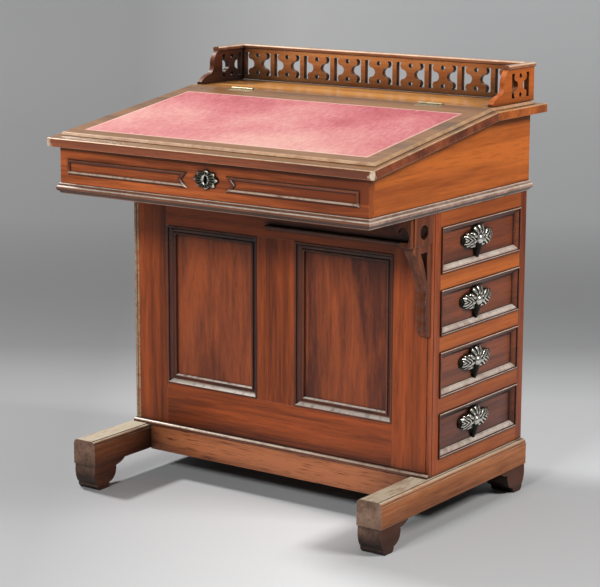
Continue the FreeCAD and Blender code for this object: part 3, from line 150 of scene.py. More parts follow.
def new_material(name):
    """A material with its shader and output in place."""
    material = bpy.data.materials.new(name)
    material.use_nodes = True
    tree = material.node_tree
    tree.nodes.clear()
    shader = add(tree, "ShaderNodeBsdfPrincipled")
    output = add(tree, "ShaderNodeOutputMaterial")
    join(tree, shader.outputs["BSDF"], output.inputs["Surface"])
    return material, tree, shader


def put_in_scene(name, data):
    """An object that holds a mesh, a lamp or a camera."""
    made = bpy.data.objects.new(name, data)
    bpy.context.collection.objects.link(made)
    return made


def mesh_piece(name, verts, faces, material):
    """A finished mesh piece at the origin."""
    mesh = bpy.data.meshes.new(name)
    mesh.from_pydata([tuple(vert) for vert in verts], [], faces)
    mesh.materials.append(material)
    for polygon in mesh.polygons:
        polygon.use_smooth = True
    return put_in_scene(name, mesh)


def painted_light_paper():
    """Paper toned with painted light: darker far from the desk and at the left, lighter up the
    wall; clear from behind.
    """
    material, tree, shader = new_material("painted_light_paper")
    place = desk_place(tree)
    height = part_of(tree, place, "Z")
    depth = dot(tree, place, AWAY_FROM_CAMERA)
    across = dot(tree, place, ACROSS_CAMERA)
    floor_painted_light = ramp(tree, spread(tree, depth, *FLOOR_DEPTHS), *FLOOR_PAINTED_LIGHT)
    wall_painted_light = ramp(tree, height, *WALL_PAINTED_LIGHT)
    tone = blend(tree, spread(tree, height, *WALL_FOOT), floor_painted_light, wall_painted_light)
    side_painted_light = ramp(tree, spread(tree, across, *SIDE_REACH), *SIDE_PAINTED_LIGHT)
    painted_paper_tone = add(tree, "ShaderNodeVectorMath", {0: tone, 1: side_painted_light}, operation="MULTIPLY")
    join(tree, painted_paper_tone.outputs["Vector"], shader.inputs["Base Color"])
    shader.inputs["Roughness"].default_value = 0.9
    shader.inputs["Specular IOR Level"].default_value = 0.1
    surface = add(tree, "ShaderNodeNewGeometry")
    clear = add(tree, "ShaderNodeBsdfTransparent")
    seen = add(tree, "ShaderNodeMixShader", {
        0: surface.outputs["Backfacing"], 1: shader.outputs["BSDF"], 2: clear.outputs["BSDF"]})
    output = next(item for item in tree.nodes if item.type == "OUTPUT_MATERIAL")
    join(tree, seen.outputs["Shader"], output.inputs["Surface"])
    return material


def make_studio():
    profile = [(FLOOR_NEAR, 0.0), (FLOOR_FAR, 0.0)]
    for step in range(1, SWEEP_STEPS + 1):
        angle = step / SWEEP_STEPS * math.pi / 2
        profile.append((
            FLOOR_FAR + SWEEP_RADIUS * math.sin(angle), SWEEP_RADIUS * (1 - math.cos(angle))))
    profile.append((FLOOR_FAR + SWEEP_RADIUS, WALL_HEIGHT))
    turn = Matrix.Rotation(VIEW_TURN, 3, "Z")
    verts = [
        turn @ Vector((side * STUDIO_HALF_WIDTH, depth, height))
        for depth, height in profile for side in (-1, 1)]
    faces = [(i, i + 1, i + 3, i + 2) for i in range(0, len(verts) - 2, 2)]
    mesh_piece("studio_sweep", verts, faces, painted_light_paper())


def make_camera():
    data = bpy.data.cameras.new("camera")
    data.lens = LENS_MM
    data.sensor_width = SENSOR_MM
    data.shift_x, data.shift_y = LENS_SHIFT
    data.clip_end = FARTHEST_SEEN
    camera = put_in_scene("camera", data)
    camera.matrix_world = (
        Matrix.Translation(CAMERA_PLACE)
        @ Matrix.Rotation(VIEW_TURN, 4, "Z")
        @ Matrix.Rotation(math.pi / 2 - VIEW_TILT, 4, "X")
        @ Matrix.Rotation(VIEW_ROLL, 4, "Z"))
    bpy.context.scene.camera = camera


def make_lamp(name, place, aim, size, watts, tint):
    """A soft box that faces a point on the desk."""
    data = bpy.data.lights.new(name, "AREA")
    data.shape = "RECTANGLE"
    data.size, data.size_y = size
    data.energy = watts
    data.color = tint
    way = Vector(aim) - Vector(place)
    put_in_scene(name, data).matrix_world = (
        Matrix.Translation(place) @ way.to_track_quat("-Z", "Y").to_matrix().to_4x4())


def light_room():
    world = bpy.data.worlds.new("world")
    world.use_nodes = True
    background = world.node_tree.nodes["Background"]
    background.inputs["Color"].default_value = ROOM_TONE
    background.inputs["Strength"].default_value = ROOM_STRENGTH
    bpy.context.scene.world = world
    bpy.context.scene.view_settings.view_transform = "Standard"


make_studio()
make_camera()
for lamp in LAMPS:
    make_lamp(*lamp)
light_room()


# ---------------------------------------------------------------- walnut casework
# The carcase is solid walnut under shellac: reddish brown, with long dark streaks and fine
# open pores. Its arrises are rubbed pale with a painted highlight, its corners hold dark wax
# with painted shade, and faces that other parts close in get painted shade. Faces that look
# to the right are a lighter copy of the wood, painted light, and the left side rails are
# painted darker for shade. The left post's front edge is scraped bare, and the top of the
# rail under the writing box carries a nearly black painted shadow.

# The pale tone of rubbed arrises, which also paints their highlight.
PALE_RUB_AND_GLINT = (0.58, 0.40, 0.27, 1)
# The dark tone of wax, which also paints shade and shadow.
DARK_WAX_AND_SHADE = (0.010, 0.004, 0.003, 1)
FRONT_DARK, FRONT_LIGHT = (0.105, 0.020, 0.005), (0.440, 0.088, 0.018)
# The side tones are a lighter, lit copy of the front tones: painted light for faces that look
# right.
LIT_SIDE_DARK, LIT_SIDE_LIGHT = (0.300, 0.064, 0.009), (0.630, 0.160, 0.023)
TRIM_DARK, TRIM_LIGHT = (0.055, 0.012, 0.006), (0.220, 0.052, 0.019)
SHADED_LEFT_RAIL_TONE = (0.240, 0.046, 0.010, 1)
BARE_POST = (0.46, 0.37, 0.24, 1)

# Each pair is where something starts and where it is full: metres from an edge here, and
# shares of a mask's range below.
BARE_EDGE = (0.014, 0.012)
RAIL_SHADE = (0.048, 0.016)

RING_COUNT = 40.0
STREAK_SHARE, THREAD_SHARE = 0.75, 0.35
FIGURE_SPAN = (0.86, 1.24)
PORE_SPAN = (0.56, 0.70)
CORNER_REACH, PAINTED_SHADE_REACH = 0.010, 0.13
ARRIS_SPAN = (0.985, 0.80)
OPEN_SPAN = (0.55, 0.92)
WAX_AND_SHADE_SPAN = (0.85, 0.35)
PAINTED_SHADE_SPAN = (0.88, 0.48)


def sums(tree, operation, *values):
    """The result of one piece of arithmetic."""
    return add(tree, "ShaderNodeMath", dict(enumerate(values)), operation=operation).outputs[0]


def times(tree, first, *others):
    """Several values multiplied together."""
    for other in others:
        first = sums(tree, "MULTIPLY", first, other)
    return first


def noise(tree, vector, scale, detail, roughness=0.5, distortion=0.0):
    return add(tree, "ShaderNodeTexNoise", {
        "Vector": vector, "Scale": scale, "Detail": detail, "Roughness": roughness,
        "Distortion": distortion}).outputs["Fac"]


def facing(tree, axis):
    """How far each face looks along one axis of the desk."""
    return part_of(tree, add(tree, "ShaderNodeNewGeometry").outputs["Normal"], axis)


def open_air(tree, distance, samples=6):
    """How open each point is to the air within a distance."""
    return add(
        tree, "ShaderNodeAmbientOcclusion", {"Distance": distance}, samples=samples,
    ).outputs["AO"]


def group_socket(tree, name, kind, way, start=None):
    socket = tree.interface.new_socket(name=name, in_out=way, socket_type="NodeSocket" + kind)
    if start is not None:
        socket.default_value = start


def make_figure_group():
    """The colour and pore depth of walnut: clouds, rings, streaks, threads and open pores."""
    tree = bpy.data.node_groups.new("wood_figure", "ShaderNodeTree")
    group_socket(tree, "Vector", "Vector", "INPUT")
    group_socket(tree, "Dark", "Color", "INPUT", (0.06, 0.02, 0.01, 1))
    group_socket(tree, "Light", "Color", "INPUT", (0.25, 0.08, 0.03, 1))
    group_socket(tree, "Bands", "Float", "INPUT", 0.4)
    group_socket(tree, "Pores", "Float", "INPUT", 0.5)
    group_socket(tree, "Colour", "Color", "OUTPUT")
    group_socket(tree, "Depth", "Float", "OUTPUT")
    given = add(tree, "NodeGroupInput").outputs
    result = add(tree, "NodeGroupOutput").inputs
    grain = given["Vector"]
    clouds = noise(tree, grain, scale=7.0, detail=3.0, distortion=1.3)
    streaks = noise(tree, grain, scale=48.0, detail=6.0, roughness=0.7, distortion=0.3)
    threads = noise(tree, grain, scale=190.0, detail=3.0, roughness=0.6)
    specks = noise(tree, grain, scale=420.0, detail=2.0)
    rings = sums(tree, "SINE", times(tree, clouds, RING_COUNT))
    banded = sums(tree, "MULTIPLY_ADD", rings, given["Bands"], clouds)
    streaked = sums(tree, "MULTIPLY_ADD", streaks, STREAK_SHARE, banded)
    threaded = sums(tree, "MULTIPLY_ADD", threads, THREAD_SHARE, streaked)
    body = blend(tree, spread(tree, threaded, *FIGURE_SPAN), given["Dark"], given["Light"])
    pores = times(tree, spread(tree, specks, *PORE_SPAN), given["Pores"])
    join(tree, blend(tree, pores, body, given["Dark"]), result["Colour"])
    join(tree, sums(tree, "SUBTRACT", 1.0, pores), result["Depth"])
    return tree


def make_wear_and_light_group():
    """Softened arrises; masks of rub and painted highlight, corner wax and shade, and painted
    shade.
    """
    tree = bpy.data.node_groups.new("wear_and_painted_light", "ShaderNodeTree")
    group_socket(tree, "Arris Radius", "Float", "INPUT", 0.0012)
    group_socket(tree, "Patchiness", "Float", "INPUT", 0.5)
    group_socket(tree, "Normal", "Vector", "OUTPUT")
    group_socket(tree, "Rubbed And Glint", "Float", "OUTPUT")
    group_socket(tree, "Wax And Shade", "Float", "OUTPUT")
    group_socket(tree, "Painted Shade", "Float", "OUTPUT")
    given = add(tree, "NodeGroupInput").outputs
    result = add(tree, "NodeGroupOutput").inputs
    arris = add(tree, "ShaderNodeBevel", {"Radius": given["Arris Radius"]}, samples=6)
    flat = add(tree, "ShaderNodeNewGeometry").outputs["True Normal"]
    edge = spread(tree, dot(tree, arris.outputs["Normal"], flat), *ARRIS_SPAN)
    patches = noise(tree, desk_place(tree), scale=38.0, detail=4.0, roughness=0.65)
    kept = spread(tree, patches, times(tree, given["Patchiness"], 0.7), 0.72)
    corner = open_air(tree, CORNER_REACH)
    # Painted shade: the less open a face is within this reach, the darker it is painted.
    shade_openness = open_air(tree, PAINTED_SHADE_REACH)
    rubbed = times(tree, edge, kept, spread(tree, corner, *OPEN_SPAN))
    join(tree, arris.outputs["Normal"], result["Normal"])
    join(tree, rubbed, result["Rubbed And Glint"])
    # Dark wax and painted shade in corners.
    join(tree, spread(tree, corner, *WAX_AND_SHADE_SPAN), result["Wax And Shade"])
    join(tree, spread(tree, shade_openness, *PAINTED_SHADE_SPAN), result["Painted Shade"])
    return tree


WOOD_FIGURE = make_figure_group()
WEAR_AND_PAINTED_LIGHT = make_wear_and_light_group()


def rub_and_highlight_rounds(tree, colour, tone, strength):
    """Rub the upper sides of round edges pale with a painted highlight; paint shade on their
    undersides.
    """
    rise = facing(tree, "Z")
    patches = noise(tree, desk_place(tree), scale=30.0, detail=7.0, roughness=0.8)
    kept = spread(tree, patches, 0.36, 0.56, 0.45 * strength, strength)
    rounded = times(tree, spread(tree, rise, 0.25, 0.50), spread(tree, rise, 0.984, 0.955), kept)
    under = spread(tree, rise, -0.15, -0.45, 0.0, 0.75)
    return blend(tree, under, blend(tree, rounded, colour, tone), DARK_WAX_AND_SHADE)


def polished_wood(name, grain, dark, light, shift=(0, 0, 0), stretch=0.05, bands=0.03,
                  pores=0.5, rub_and_glint=0.6, rub_and_glint_tone=PALE_RUB_AND_GLINT, patchiness=0.55, arris=0.0012,
                  rounds_rub_and_highlight=0.0, other_faces=None, wax_and_shade=0.85, painted_shade=0.95, gloss=0.34, coat=0.1):
    """One cut of polished wood, its grain along one axis of the desk.

    The share for its rounded edges sets how far the upper sides of its mouldings are rubbed
    pale with a painted highlight, while their undersides get painted shade. other_faces is
    (axis, dark, light), the tones of the faces that look along that axis. The shade share sets
    how much painted shade darkens what other parts close in.
    """
    material, tree, shader = new_material(name)
    place = desk_place(tree)
    along = tuple(stretch if axis == grain else 1.0 for axis in "xyz")
    laid = add(tree, "ShaderNodeMapping", {"Vector": place, "Location": shift, "Scale": along})
    figure = add(tree, "ShaderNodeGroup", {
        "Vector": laid.outputs["Vector"], "Dark": (*dark, 1), "Light": (*light, 1),
        "Bands": bands, "Pores": pores}, node_tree=WOOD_FIGURE)
    if other_faces is not None:
        axis, other_dark, other_light = other_faces
        turned = spread(tree, sums(tree, "ABSOLUTE", facing(tree, axis.upper())), 0.6, 0.9)
        for socket, own, other in (("Dark", dark, other_dark), ("Light", light, other_light)):
            join(tree, blend(tree, turned, (*own, 1), (*other, 1)), figure.inputs[socket])
    wear = add(tree, "ShaderNodeGroup", {
        "Patchiness": patchiness, "Arris Radius": arris}, node_tree=WEAR_AND_PAINTED_LIGHT)
    # Arrises rubbed pale: part wear, part painted highlight.
    rubbed = times(tree, wear.outputs["Rubbed And Glint"], rub_and_glint)
    colour = blend(tree, rubbed, figure.outputs["Colour"], rub_and_glint_tone)
    # Painted highlight on the upper sides of rounds, with wear; painted shade under them.
    if rounds_rub_and_highlight:
        colour = rub_and_highlight_rounds(tree, colour, rub_and_glint_tone, rounds_rub_and_highlight)
    # Dark wax and painted shade in the corners.
    colour = blend(tree, times(tree, wear.outputs["Wax And Shade"], wax_and_shade), colour, DARK_WAX_AND_SHADE)
    # Painted shade where other parts close the faces in.
    colour = blend(tree, times(tree, wear.outputs["Painted Shade"], painted_shade), colour, DARK_WAX_AND_SHADE)
    join(tree, colour, shader.inputs["Base Color"])
    smears = noise(tree, place, scale=17.0, detail=3.0)
    join(tree, spread(tree, smears, 0.3, 0.75, gloss, gloss + 0.2), shader.inputs["Roughness"])
    relief = add(tree, "ShaderNodeBump", {
        "Strength": 0.25, "Distance": 0.0004, "Height": figure.outputs["Depth"],
        "Normal": wear.outputs["Normal"]})
    join(tree, relief.outputs["Normal"], shader.inputs["Normal"])
    shader.inputs["Specular IOR Level"].default_value = 0.3
    shader.inputs["Coat Weight"].default_value = coat
    shader.inputs["Coat Roughness"].default_value = 0.2
    return material


def finish_with(material, *names):
    """Give carried-over nodes their finish."""
    for name in names:
        slots = nodes[name].data.materials
        slots.clear()
        slots.append(material)


def paint_over(material, share, tone):
    """Lay a tone over what a material shows, by a share."""
    tree = material.node_tree
    shader = next(item for item in tree.nodes if item.type == "BSDF_PRINCIPLED")
    shown = shader.inputs["Base Color"]
    join(tree, blend(tree, share, shown.links[0].from_socket, tone), shown)


def stain_and_shade_band(material, axis, start, full, tone, strength, grain=0.0, front_only=False):
    """Paint a tone beyond one height or width, for stains and painted shade alike; grain breaks
    it into specks.
    """
    tree = material.node_tree
    place = desk_place(tree)
    band = spread(tree, part_of(tree, place, axis), start, full)
    specks = noise(tree, place, scale=90.0, detail=6.0, roughness=0.8)
    kept = spread(tree, specks, 0.42, 0.58, strength * (1 - grain), strength)
    share = times(tree, band, kept)
    if front_only:
        share = times(tree, share, spread(tree, facing(tree, "Y"), -0.4, -0.8))
    paint_over(material, share, tone)


front_upright = polished_wood(
    "walnut_front_upright", "z", FRONT_DARK, FRONT_LIGHT, rub_and_glint=0.85, patchiness=0.5)
left_post_wood = polished_wood(
    "walnut_left_post", "z", FRONT_DARK, FRONT_LIGHT, rub_and_glint=0.85, patchiness=0.5)
front_level = polished_wood(
    "walnut_front_level", "x", FRONT_DARK, FRONT_LIGHT, shift=(2, 1, 3))
side_level = polished_wood(
    "walnut_side_level", "y", LIT_SIDE_DARK, LIT_SIDE_LIGHT, shift=(1, 7, 2))
post_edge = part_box("post_front_left")[0].x
stain_and_shade_band(
    left_post_wood, "X", post_edge + BARE_EDGE[0], post_edge + BARE_EDGE[1], BARE_POST,
    strength=0.85, grain=0.75, front_only=True)
rail_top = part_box("front_rails")[1].z
# Painted shadow of the writing box along the top of the front rails, nearly black.
stain_and_shade_band(
    front_level, "Z", rail_top - RAIL_SHADE[0], rail_top - RAIL_SHADE[1], DARK_WAX_AND_SHADE,
    strength=0.97)
# Painted shade: the left side rails are darkened from the lit side tones.
stain_and_shade_band(side_level, "X", 0.01, -0.01, SHADED_LEFT_RAIL_TONE, strength=0.65)
finish_with(front_upright, "post_front_right", "front_muntin", "rear_posts")
finish_with(left_post_wood, "post_front_left")
finish_with(front_level, "front_rails")
finish_with(side_level, "side_rails")

# ---------------------------------------------------------------- runners and feet
# Two long sledge runners on scrolled bracket feet, tied by an apron with a bead along its
# top and by a rear stretcher. Shoes and mops have scuffed the polish off the runners' tops,
# which show grey, bare wood.

RUNNER_TOP = (0.085, 0.098)
BARE_RUNNER = (0.56, 0.49, 0.37, 1)


def scuff_and_highlight_tops(material, low, high, tone, strength, rise=(0.35, 0.95)):
    """Lay a pale tone on what faces up between two heights: scuffed bare wood, painted
    highlights.

    rise is the upward share of the normal where the tone starts and where it is full.
    """
    tree = material.node_tree
    place = desk_place(tree)
    up = spread(tree, facing(tree, "Z"), *rise)
    level = spread(tree, part_of(tree, place, "Z"), low, high)
    stretched = add(tree, "ShaderNodeMapping", {"Vector": place, "Scale": (3.0, 0.6, 1.0)})
    scuffs_and_glints = noise(
        tree, stretched.outputs["Vector"], scale=24.0, detail=6.0, roughness=0.7)
    paint_over(
        material, times(tree, up, level, spread(tree, scuffs_and_glints, 0.30, 0.50), strength), tone)


runner_wood = polished_wood(
    "walnut_runner", "y", dark=(0.110, 0.030, 0.012), light=(0.400, 0.135, 0.055),
    shift=(4, 2, 6), other_faces=("y", (0.095, 0.050, 0.034), (0.330, 0.190, 0.130)),
    rub_and_glint=1.0, rub_and_glint_tone=(0.46, 0.38, 0.31, 1), patchiness=0.4, gloss=0.42, coat=0)
# The right runner has a lighter copy of the runner's wood.
right_runner_wood = polished_wood(
    "walnut_runner_right", "y", dark=(0.150, 0.042, 0.014), light=(0.600, 0.210, 0.070),
    shift=(4, 7, 6), other_faces=("y", (0.120, 0.064, 0.042), (0.420, 0.260, 0.180)),
    rub_and_glint=1.0, rub_and_glint_tone=(0.56, 0.44, 0.34, 1), patchiness=0.35, gloss=0.42, coat=0)
for wood in (runner_wood, right_runner_wood):
    scuff_and_highlight_tops(wood, *RUNNER_TOP, BARE_RUNNER, strength=0.95)
apron_wood = polished_wood(
    "walnut_apron", "x", dark=(0.110, 0.028, 0.011), light=(0.600, 0.200, 0.080),
    shift=(3, 8, 1), pores=0.9, rub_and_glint=1.0, patchiness=0.35)
# The bead's upper side is rubbed pale with a painted highlight.
bead_wood = polished_wood(
    "walnut_trim_level", "x", TRIM_DARK, TRIM_LIGHT, shift=(5, 3, 1), rub_and_glint=0.9, patchiness=0.35,
    rub_and_glint_tone=(0.66, 0.54, 0.42, 1), arris=0.0022, rounds_rub_and_highlight=0.9, gloss=0.26, coat=0.5)
finish_with(runner_wood, "runner_left", "front_feet", "rear_feet")
finish_with(right_runner_wood, "runner_right")
finish_with(apron_wood, "apron_front")
finish_with(bead_wood, "base_bead")

# ---------------------------------------------------------------- sunk panels
# Two veneered panels with a soft, streaked figure, each in a mitred moulding that is glued
# into its frame. The mouldings are darker, and their lower bars carry a painted highlight.

PAINTED_HIGHLIGHT_BAR = (0.95, 0.88, 0.80, 1)
HIGHLIGHT_BAR_RISE = (0.030, 0.026)

panel_wood = polished_wood(
    "walnut_flame_panel", "z", dark=(0.095, 0.020, 0.009), light=(0.370, 0.080, 0.020),
    shift=(7, 4, 2), stretch=0.11, bands=0.05, pores=0.4, rub_and_glint=0.2, gloss=0.28, coat=0.2)
moulding_wood = polished_wood(
    "walnut_moulding", "z", TRIM_DARK, TRIM_LIGHT, shift=(8, 1, 5), rub_and_glint=1.0, patchiness=0.3,
    wax_and_shade=0.5, rub_and_glint_tone=(0.66, 0.54, 0.43, 1), rounds_rub_and_highlight=0.5, gloss=0.26, coat=0.35)
mouldings_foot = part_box("panel_mouldings")[0].z
# Painted highlight along the lower bars of the panel mouldings.
scuff_and_highlight_tops(
    moulding_wood, mouldings_foot + HIGHLIGHT_BAR_RISE[0], mouldings_foot + HIGHLIGHT_BAR_RISE[1],
    PAINTED_HIGHLIGHT_BAR, strength=0.9)
finish_with(panel_wood, "front_panels")
finish_with(moulding_wood, "panel_mouldings")

# ---------------------------------------------------------------- plain inside wood
# What is out of sight is a paler, duller wood: the back, the drawer boxes, their runners,
# the stretcher, the floor boards and the fitted nest.

SECOND_DARK, SECOND_LIGHT = (0.110, 0.050, 0.022), (0.330, 0.175, 0.085)
DRAWERS = range(1, 5)

inside_upright = polished_wood(
    "inside_wood_upright", "z", SECOND_DARK, SECOND_LIGHT, shift=(1, 2, 9), rub_and_glint=0.2, gloss=0.5,
    coat=0)
inside_level = polished_wood(
    "inside_wood_level", "x", SECOND_DARK, SECOND_LIGHT, shift=(6, 2, 1), rub_and_glint=0.2, gloss=0.5,
    coat=0)
finish_with(inside_upright, "back_panels", "back_frame")
finish_with(
    inside_level, "stretcher_rear", "pedestal_floor_board", "drawer_runner_bars",
    "box_bottom", "nest", "nest_drawer_left", "nest_drawer_right",
    *("drawer_%d_box" % number for number in DRAWERS))

# ---------------------------------------------------------------- drawer fronts
# Each front is a sunk field in a moulding, whose edge is rubbed pale with a painted
# highlight and whose faces that look along the desk are painted dark for shade. The left
# side has four dummy fronts to match.

# Painted shade on the faces that look along the desk; painted highlight on the upper sides.
field_wood = polished_wood(
    "walnut_drawer_field", "y", dark=(0.085, 0.018, 0.006), light=(0.300, 0.070, 0.020),
    shift=(2, 9, 4), other_faces=("y", (0.022, 0.009, 0.005), (0.085, 0.034, 0.018)),
    rub_and_glint=1.0, rub_and_glint_tone=(0.80, 0.70, 0.62, 1), patchiness=0.3, rounds_rub_and_highlight=0.95, gloss=0.28, coat=0.3)
finish_with(field_wood, "dummy_fronts", *("drawer_%d_front" % number for number in DRAWERS))

# ---------------------------------------------------------------- writing box
# A shallow box of red walnut, framed at its foot by a nosed moulding and on its front by
# two half-round frames, whose lower bars carry a painted highlight. Its right side and the
# side faces of its front, back and foot moulding are lighter copies of the wood: painted
# light.

FASCIA_PAINTED_HIGHLIGHT = (0.88, 0.68, 0.52, 1)
FASCIA_HIGHLIGHT_DROP = (0.006, 0.012)

# Painted light: the right box side takes the lit side tones, the left side keeps the front
# tones.
box_wood_right = polished_wood(
    "walnut_box_side", "y", LIT_SIDE_DARK, LIT_SIDE_LIGHT, shift=(9, 1, 3), rub_and_glint=0.6)
box_wood_left = polished_wood(
    "walnut_box_left", "y", FRONT_DARK, FRONT_LIGHT, shift=(3, 1, 9), rub_and_glint=0.6)
box_wood_front = polished_wood(
    "walnut_box_front", "x", dark=(0.210, 0.044, 0.012), light=(0.760, 0.185, 0.046),
    shift=(1, 5, 8), other_faces=("x", LIT_SIDE_DARK, LIT_SIDE_LIGHT))
# Painted light: the foot moulding's side faces are much paler and its nose has a painted
# highlight.
foot_moulding_wood = polished_wood(
    "walnut_box_foot", "x", dark=(0.080, 0.024, 0.012), light=(0.300, 0.120, 0.060),
    shift=(7, 3, 1), other_faces=("x", (0.220, 0.120, 0.085), (0.560, 0.370, 0.290)),
    rub_and_glint=1.0, rub_and_glint_tone=(0.74, 0.62, 0.53, 1), patchiness=0.3, arris=0.0022, rounds_rub_and_highlight=1.0,
    gloss=0.26, coat=0.4)
fascia_wood = polished_wood(
    "walnut_fascia", "x", TRIM_DARK, TRIM_LIGHT, shift=(2, 3, 7), rub_and_glint=0.7, rounds_rub_and_highlight=0.3, coat=0.5)
fascia_low, fascia_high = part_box("fascia_moulding")
fascia_middle = (fascia_low.z + fascia_high.z) / 2
# Painted highlight along the lower bars of the fascia frames.
scuff_and_highlight_tops(
    fascia_wood, fascia_middle - FASCIA_HIGHLIGHT_DROP[0], fascia_middle - FASCIA_HIGHLIGHT_DROP[1],
    FASCIA_PAINTED_HIGHLIGHT, strength=0.95, rise=(-0.3, 0.3))
finish_with(box_wood_right, "box_side_right")
finish_with(box_wood_left, "box_side_left")
finish_with(box_wood_front, "box_front", "box_back")
finish_with(foot_moulding_wood, "box_base_moulding")
finish_with(fascia_wood, "fascia_moulding")

# ---------------------------------------------------------------- lid and ledge
# The lid and the ledge behind it are brown walnut, faded by light on top, with moulded
# edges that hands have rubbed pale and that carry a painted highlight. The ledge is a
# brighter, golden copy of the wood: painted light. The lid's two front corners are chipped
# bare.

LID_CORNER = (0.379, 0.311, 0.710)
CHIP_NEAR = 0.015
CHIP_FAR = 0.021
CHIP_RAGGEDNESS = 0.02
BARE_CHIP = (0.80, 0.62, 0.46, 1)


def chip_corners(material, corner, near, far, tone):
    """Bare, chipped wood round a corner and the one that mirrors it across the desk."""
    tree = material.node_tree
    place = desk_place(tree)
    folded = add(tree, "ShaderNodeVectorMath", {0: place}, operation="ABSOLUTE")
    away = add(tree, "ShaderNodeVectorMath", {
        0: folded.outputs["Vector"], 1: corner}, operation="DISTANCE").outputs["Value"]
    ragged = noise(tree, place, scale=130.0, detail=4.0)
    reach = sums(tree, "MULTIPLY_ADD", ragged, CHIP_RAGGEDNESS, away)
    paint_over(material, spread(tree, reach, far, near), tone)


top_wood = polished_wood(
    "walnut_faded_top", "x", dark=(0.105, 0.025, 0.011), light=(0.330, 0.083, 0.028),
    shift=(3, 3, 3), other_faces=("z", (0.120, 0.052, 0.017), (0.320, 0.142, 0.042)),
    rub_and_glint=1.0, rub_and_glint_tone=(0.80, 0.56, 0.34, 1), patchiness=0.2, arris=0.0024, rounds_rub_and_highlight=0.55,
    gloss=0.26, coat=0.4)
# Painted light: the ledge is lighter and more golden than the lid's wood.
lit_ledge_wood = polished_wood(
    "walnut_ledge_painted_light", "x", dark=(0.260, 0.060, 0.012), light=(0.600, 0.160, 0.028),
    shift=(6, 3, 3), other_faces=("z", (0.340, 0.145, 0.036), (0.880, 0.400, 0.105)),
    rub_and_glint=1.0, rub_and_glint_tone=(0.70, 0.50, 0.32, 1), patchiness=0.3, arris=0.0018, rounds_rub_and_highlight=0.6,
    gloss=0.26, coat=0.4)
chip_corners(top_wood, LID_CORNER, CHIP_NEAR, CHIP_FAR, BARE_CHIP)
finish_with(top_wood, "lid_board")
finish_with(lit_ledge_wood, "ledge_top")

# ---------------------------------------------------------------- leather
# A skiver of rose-red leather, glued into a sinking in the lid and flush with it. It is
# faded and rubbed to pink and buff, and a tooled line runs round its edge.

LEATHER_BORDER = 0.004
TOOLED_TONE = (0.86, 0.70, 0.58, 1)
TOOLED_SHARE = 0.35
FADE_SHARE, RUB_SHARE = 0.50, 0.55
LEATHER_TONES = (
    (0.34, (0.34, 0.045, 0.068)), (0.47, (0.52, 0.150, 0.165)), (0.58, (0.62, 0.29, 0.265)),
    (0.74, (0.68, 0.46, 0.37)))


def worn_leather():
    material, tree, shader = new_material("rose_leather")
    place = desk_place(tree)
    x, y = part_of(tree, place, "X"), part_of(tree, place, "Y")
    turned = add(tree, "ShaderNodeMapping", {
        "Vector": place, "Rotation": (0, 0, 0.5), "Scale": (1.0, 0.5, 1.0)})
    fade = noise(tree, place, scale=4.5, detail=2.0)
    rubs = noise(tree, turned.outputs["Vector"], scale=120.0, detail=8.0, roughness=0.85)
    nearness = spread(tree, y, 0.12, -0.26, -0.12, 0.01)
    faded = sums(tree, "MULTIPLY_ADD", fade, FADE_SHARE, nearness)
    worn = sums(tree, "MULTIPLY_ADD", rubs, RUB_SHARE, faded)
    colour = ramp(tree, worn, *LEATHER_TONES)
    low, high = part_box("leather")
    at_end = sums(tree, "GREATER_THAN", sums(tree, "ABSOLUTE", x), high.x - LEATHER_BORDER)
    at_front = sums(tree, "LESS_THAN", y, low.y + LEATHER_BORDER)
    at_back = sums(tree, "GREATER_THAN", y, high.y - LEATHER_BORDER)
    border = sums(tree, "MAXIMUM", sums(tree, "MAXIMUM", at_front, at_back), at_end)
    bordered = blend(tree, times(tree, border, TOOLED_SHARE), colour, TOOLED_TONE)
    join(tree, bordered, shader.inputs["Base Color"])
    pebble = add(tree, "ShaderNodeTexVoronoi", {"Vector": place, "Scale": 900.0})
    relief = add(tree, "ShaderNodeBump", {
        "Strength": 0.3, "Distance": 0.0003, "Height": pebble.outputs["Distance"]})
    join(tree, relief.outputs["Normal"], shader.inputs["Normal"])
    shader.inputs["Roughness"].default_value = 0.55
    return material


finish_with(worn_leather(), "leather")

# ---------------------------------------------------------------- hinges and lock
# Two brass butt hinges, let in flush between lid and ledge. A steel box lock is let into
# the front board, and its strike plate into the underside of the lid.

METAL_ARRIS = 0.0008
WAX_AND_SHADE_METAL = 0.2


def old_metal(name, dull, bright, roughness):
    """Tarnished metal with dark wax and painted shade in its corners."""
    material, tree, shader = new_material(name)
    tarnish = noise(tree, desk_place(tree), scale=160.0, detail=5.0, roughness=0.7)
    wear = add(tree, "ShaderNodeGroup", {"Arris Radius": METAL_ARRIS}, node_tree=WEAR_AND_PAINTED_LIGHT)
    colour = ramp(tree, tarnish, (0.35, dull), (0.65, bright))
    waxed_and_shaded = (*[tone * WAX_AND_SHADE_METAL for tone in dull], 1)
    join(tree, blend(tree, wear.outputs["Wax And Shade"], colour, waxed_and_shaded), shader.inputs["Base Color"])
    join(tree, wear.outputs["Normal"], shader.inputs["Normal"])
    shader.inputs["Metallic"].default_value = 1.0
    shader.inputs["Roughness"].default_value = roughness
    return material


hinge_brass = old_metal("hinge_brass", (0.40, 0.30, 0.16), (0.78, 0.66, 0.44), 0.40)
lock_steel = old_metal("lock_steel", (0.16, 0.15, 0.14), (0.42, 0.41, 0.39), 0.42)
finish_with(hinge_brass, "hinge_leaves_fixed", "hinge_leaves_lid")
finish_with(lock_steel, "lock_case", "lock_bolt", "strike_plate")

# ---------------------------------------------------------------- hinge screws
# Three slotted brass screws hold each hinge leaf. Their heads stand just proud of it, and
# their slots lie as the driver left them.

